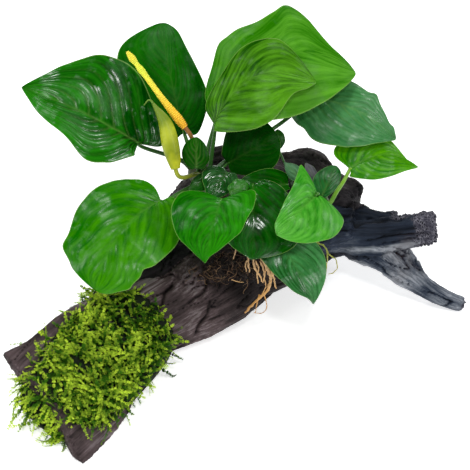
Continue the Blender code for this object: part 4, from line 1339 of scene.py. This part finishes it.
def floret_tree(finish):
    """A Geometry Nodes tree that sets a floret on every vertex of the spadix's core."""
    tree = bpy.data.node_groups.new("florets", "GeometryNodeTree")
    for label, kind in (("Core", "Geometry"), ("Floret", "Object"), ("Spread", "Float"),
                        ("Seed", "Int")):
        tree.interface.new_socket(label, in_out="INPUT", socket_type="NodeSocket" + kind)
    tree.interface.new_socket("Spadix", in_out="OUTPUT", socket_type="NodeSocketGeometry")
    given = add(tree, "NodeGroupInput").outputs
    source = add(tree, "GeometryNodeObjectInfo", None, {"Object": given["Floret"]})
    normal = add(tree, "GeometryNodeInputNormal")
    straight = add(tree, "FunctionNodeAlignRotationToVector", {"axis": "Z"}, {"Vector": normal})
    least, most = (add(tree, "ShaderNodeMath", {"operation": way}, {0: 1.0, 1: given["Spread"]})
                   for way in ("SUBTRACT", "ADD"))
    size = add(tree, "FunctionNodeRandomValue", {"data_type": "FLOAT"},
               {2: least, 3: most, "Seed": given["Seed"]})
    copies = add(tree, "GeometryNodeInstanceOnPoints", None,
                 {"Points": given["Core"], "Instance": source.outputs["Geometry"],
                  "Rotation": straight, "Scale": size.outputs[1]})
    both = add(tree, "GeometryNodeJoinGeometry")
    for part in (given["Core"], copies):
        connect(tree, both, {0: part})
    real = add(tree, "GeometryNodeRealizeInstances", None, {"Geometry": both})
    done = add(tree, "GeometryNodeSetMaterial", None, {"Geometry": real, "Material": finish})
    add(tree, "NodeGroupOutput", None, {0: done})
    return tree


def build_spadix():
    """The open flower: a spadix set with florets, orange below and yellow-green above."""
    finish = plain_tissue("ripe_spadix", ("#F0B62C", "#FFD83C", "#FFE84A", "#EAF44C", "#F6E448"),
                          0.55, 400.0, 0.3)
    core, floret = spadix_core(), floret_source()
    spadix = grow("open_spadix", core, floret_tree(finish),
                  {"Floret": floret, "Spread": 0.2, "Seed": 4})
    for spare in (core, floret):
        bpy.data.objects.remove(spare, do_unlink=True)
    mark_level(spadix, SPADIX_PATH)
    spadix.data.shade_smooth()
    finish_piece(spadix, finish, "spadix", "flower_open_spadix")


def build_spathe():
    """The closed flower: a spathe rolled round its spadix, with a seam and a hooked tip."""
    rings, sides = SPATHE_RINGS, SPATHE_SIDES
    radii = smooth_values(SPATHE_RADII, rings)
    frames = rings_along(smooth_path(SPATHE_PATH, rings), Vector((0.75, -0.45, -0.4)))
    points = []
    for i, (middle, side, other) in enumerate(frames):
        for j in range(sides):
            turn = 2 * math.pi * j / sides
            # The wrapped edge stands a step above the skin that it laps over.
            lap = 0.55 * (1 - j / sides) ** 3 * math.sin(math.pi * i / rings)
            flat = 1.0 - 0.22 * abs(math.sin(turn))
            size = radii[i] * flat + lap + 0.12 * math.sin(9 * turn + i * 0.15)
            points.append(middle + spoke(side, other, j / sides) * size)
    sheath = (points, ring_faces(rings, sides) + end_faces(rings, sides))
    hook = tube(smooth_path(SPATHE_HOOK, 12), [0.9 - 0.05 * i for i in range(12)], 10)
    spathe = mesh_piece("closed_spathe", *join_shells([sheath, hook]))
    mark_level(spathe, SPATHE_PATH)
    finish = plain_tissue("waxy_spathe", ("#C4C81E", "#84920C", "#B2BC26", "#748A14", "#66882C"),
                          0.42, 110.0, 0.3)
    finish_piece(spathe, finish, "spathe", "flower_closed_spathe")


def build_flower_stems():
    """The two flowers' stems, each run a little way into its flower."""
    for name, root, path, steps, greens in FLOWER_STEMS:
        foot, ahead = (Vector(point) for point in smooth_path(path, steps)[:2])
        way = (ahead - foot).normalized()
        route = stem_path(root, foot, way, 24)
        route.append(foot + way * 1.5)
        stem = mesh_piece(name + "_flower_stem",
                          *tube(route, [FLOWER_STEM_RADIUS] * len(route), STEM_SIDES))
        give_attribute(stem, "level", np.linspace(0.0, 1.0, len(stem.data.vertices)))
        finish = plain_tissue(name + "_flower_stem", greens, 0.42, 120.0, 0.1)
        finish_piece(stem, finish, "flower_stem", "flower_" + name + "_stem")


def build_rhizome():
    """The creeping stem, ringed with the scars of old leaves."""
    for node, route in (("rhizome_main", RHIZOME_LEFT), ("rhizome_branch", RHIZOME_RIGHT)):
        radii = []
        for i in range(RHIZOME_RINGS):
            end = min(1.0, 0.45 + 0.09 * min(i, RHIZOME_RINGS - 1 - i))
            radii.append(RHIZOME_RADIUS * end * (0.93 + 0.05 * math.sin(i * 0.75)))
        piece = mesh_piece(node, *tube(smooth_path(route, RHIZOME_RINGS), radii, RHIZOME_SIDES))
        give_attribute(piece, "level",
                       [noise.noise(p.co * 60) * 0.5 + 0.5 for p in piece.data.vertices])
        finish = plain_tissue(node + "_bark", ("#1C2A10", "#2E3B16", "#3A2C18"), 0.6, 180.0, 0.5)
        finish_piece(piece, finish, "rhizome", node)


def hanging_root(name, routes, finish, *nodes):
    """One piece made of roots that are lumpy and waver a little."""
    shells = []
    for number, (radius, route) in enumerate(routes):
        count = ROOT_STEPS * len(route)
        path = [Vector(p) for p in smooth_path(route, count)]
        radii = []
        for i in range(count):
            wander = noise.noise_vector(path[i] * 0.35 + Vector((number * 5.0, 0, 0)))
            path[i] = path[i] + wander * 0.6
            lump = 1 + 0.16 * math.sin(i * 1.3 + number) + 0.14 * math.sin(i * 0.47 + 2 * number)
            radii.append(ROOT_FULLNESS * radius * (1 - 0.45 * i / count) * lump)
        shells.append(tube(path, radii, ROOT_SIDES))
    piece = mesh_piece(name, *join_shells(shells))
    height = layout_places(piece.data)[:, 2]
    give_attribute(piece, "level", np.clip((70 - height) / 50, 0, 1))
    finish_piece(piece, finish, "root", *nodes)


def build_roots():
    """Roots that hang from the creeping stem and run down the wood."""
    noise.seed_set(ROOT_SEED)
    tan = plain_tissue("root_skin", ("#B8946A", "#DDB27C", "#D9A25A", "#B4844A"), 0.5, 250.0, 0.15)
    young = plain_tissue("young_root_skin", ("#8E9A3A", "#C2B25E", "#B09450"), 0.5, 250.0, 0.15)
    hanging_root("hanging_roots", ROOTS[:-CURLED_ROOTS], tan, "root_main", "root_left",
                 "root_middle", "root_right")
    hanging_root("curled_root", ROOTS[-CURLED_ROOTS:], young, "root_curl")


# Studio


def build_camera():
    """The camera, at the photograph's angle and distance."""
    lift = math.radians(VIEW_ELEVATION)
    way = Vector((0.0, -math.cos(lift), math.sin(lift)))
    data = bpy.data.cameras.new("camera")
    data.sensor_width = SENSOR_WIDTH
    data.lens = SENSOR_WIDTH * VIEW_DISTANCE / VIEW_WIDTH
    camera = new_object("camera", data)
    camera.location = to_frame(VIEW_CENTRE) + way * VIEW_DISTANCE * MM
    camera.rotation_euler = (-way).to_track_quat("-Z", "Y").to_euler()
    bpy.context.scene.camera = camera


def build_studio():
    """A white floor, a white surround and soft lamps."""
    size = FLOOR_SIZE
    mesh = bpy.data.meshes.new("floor")
    mesh.from_pydata([(-size, -size, 0), (size, -size, 0), (size, size, 0), (-size, size, 0)], [],
                     [(0, 1, 2, 3)])
    floor = new_object("floor", mesh)
    floor.location.z = FLOOR_HEIGHT
    white, tree, shader = new_material("white_paper")
    connect(tree, shader, {"Base Color": "#FAFAFA", "Roughness": 0.9,
                           "Emission Color": "#FAFAFA", "Emission Strength": FLOOR_GLOW})
    mesh.materials.append(white)

    world = bpy.data.worlds.new("studio")
    world.use_nodes = True
    connect(world.node_tree, world.node_tree.nodes["Background"], {0: "#F4F6FA", 1: WORLD_LEVEL})
    bpy.context.scene.world = world
    bpy.context.scene.view_settings.view_transform = "Standard"
    for name, spot, width, power in LAMPS:
        data = bpy.data.lights.new(name, "AREA")
        data.shape = "DISK"
        data.size = width
        data.energy = power
        lamp = new_object(name, data)
        lamp.location = spot
        aim = to_frame(VIEW_CENTRE) - Vector(spot)
        lamp.rotation_euler = aim.to_track_quat("-Z", "Y").to_euler()


def main():
    """Builds the studio and every piece of the plant."""
    build_camera()
    build_studio()
    green_stem = plain_tissue("leaf_stem_skin", ("#16400F", "#2A5E16", "#3F7A20"), 0.36, 150.0, 0.1)
    bright_stem = plain_tissue("young_stem_skin", ("#3F7A1A", "#6FA326", "#86B832"), 0.36, 150.0,
                               0.1)
    for leaf in LEAVES:
        build_leaf(leaf, bright_stem if leaf.name == "far_right" else green_stem)
    wood = build_driftwood()
    build_tangle(wood)
    build_moss()
    build_spadix()
    build_spathe()
    build_flower_stems()
    build_rhizome()
    build_roots()


main()
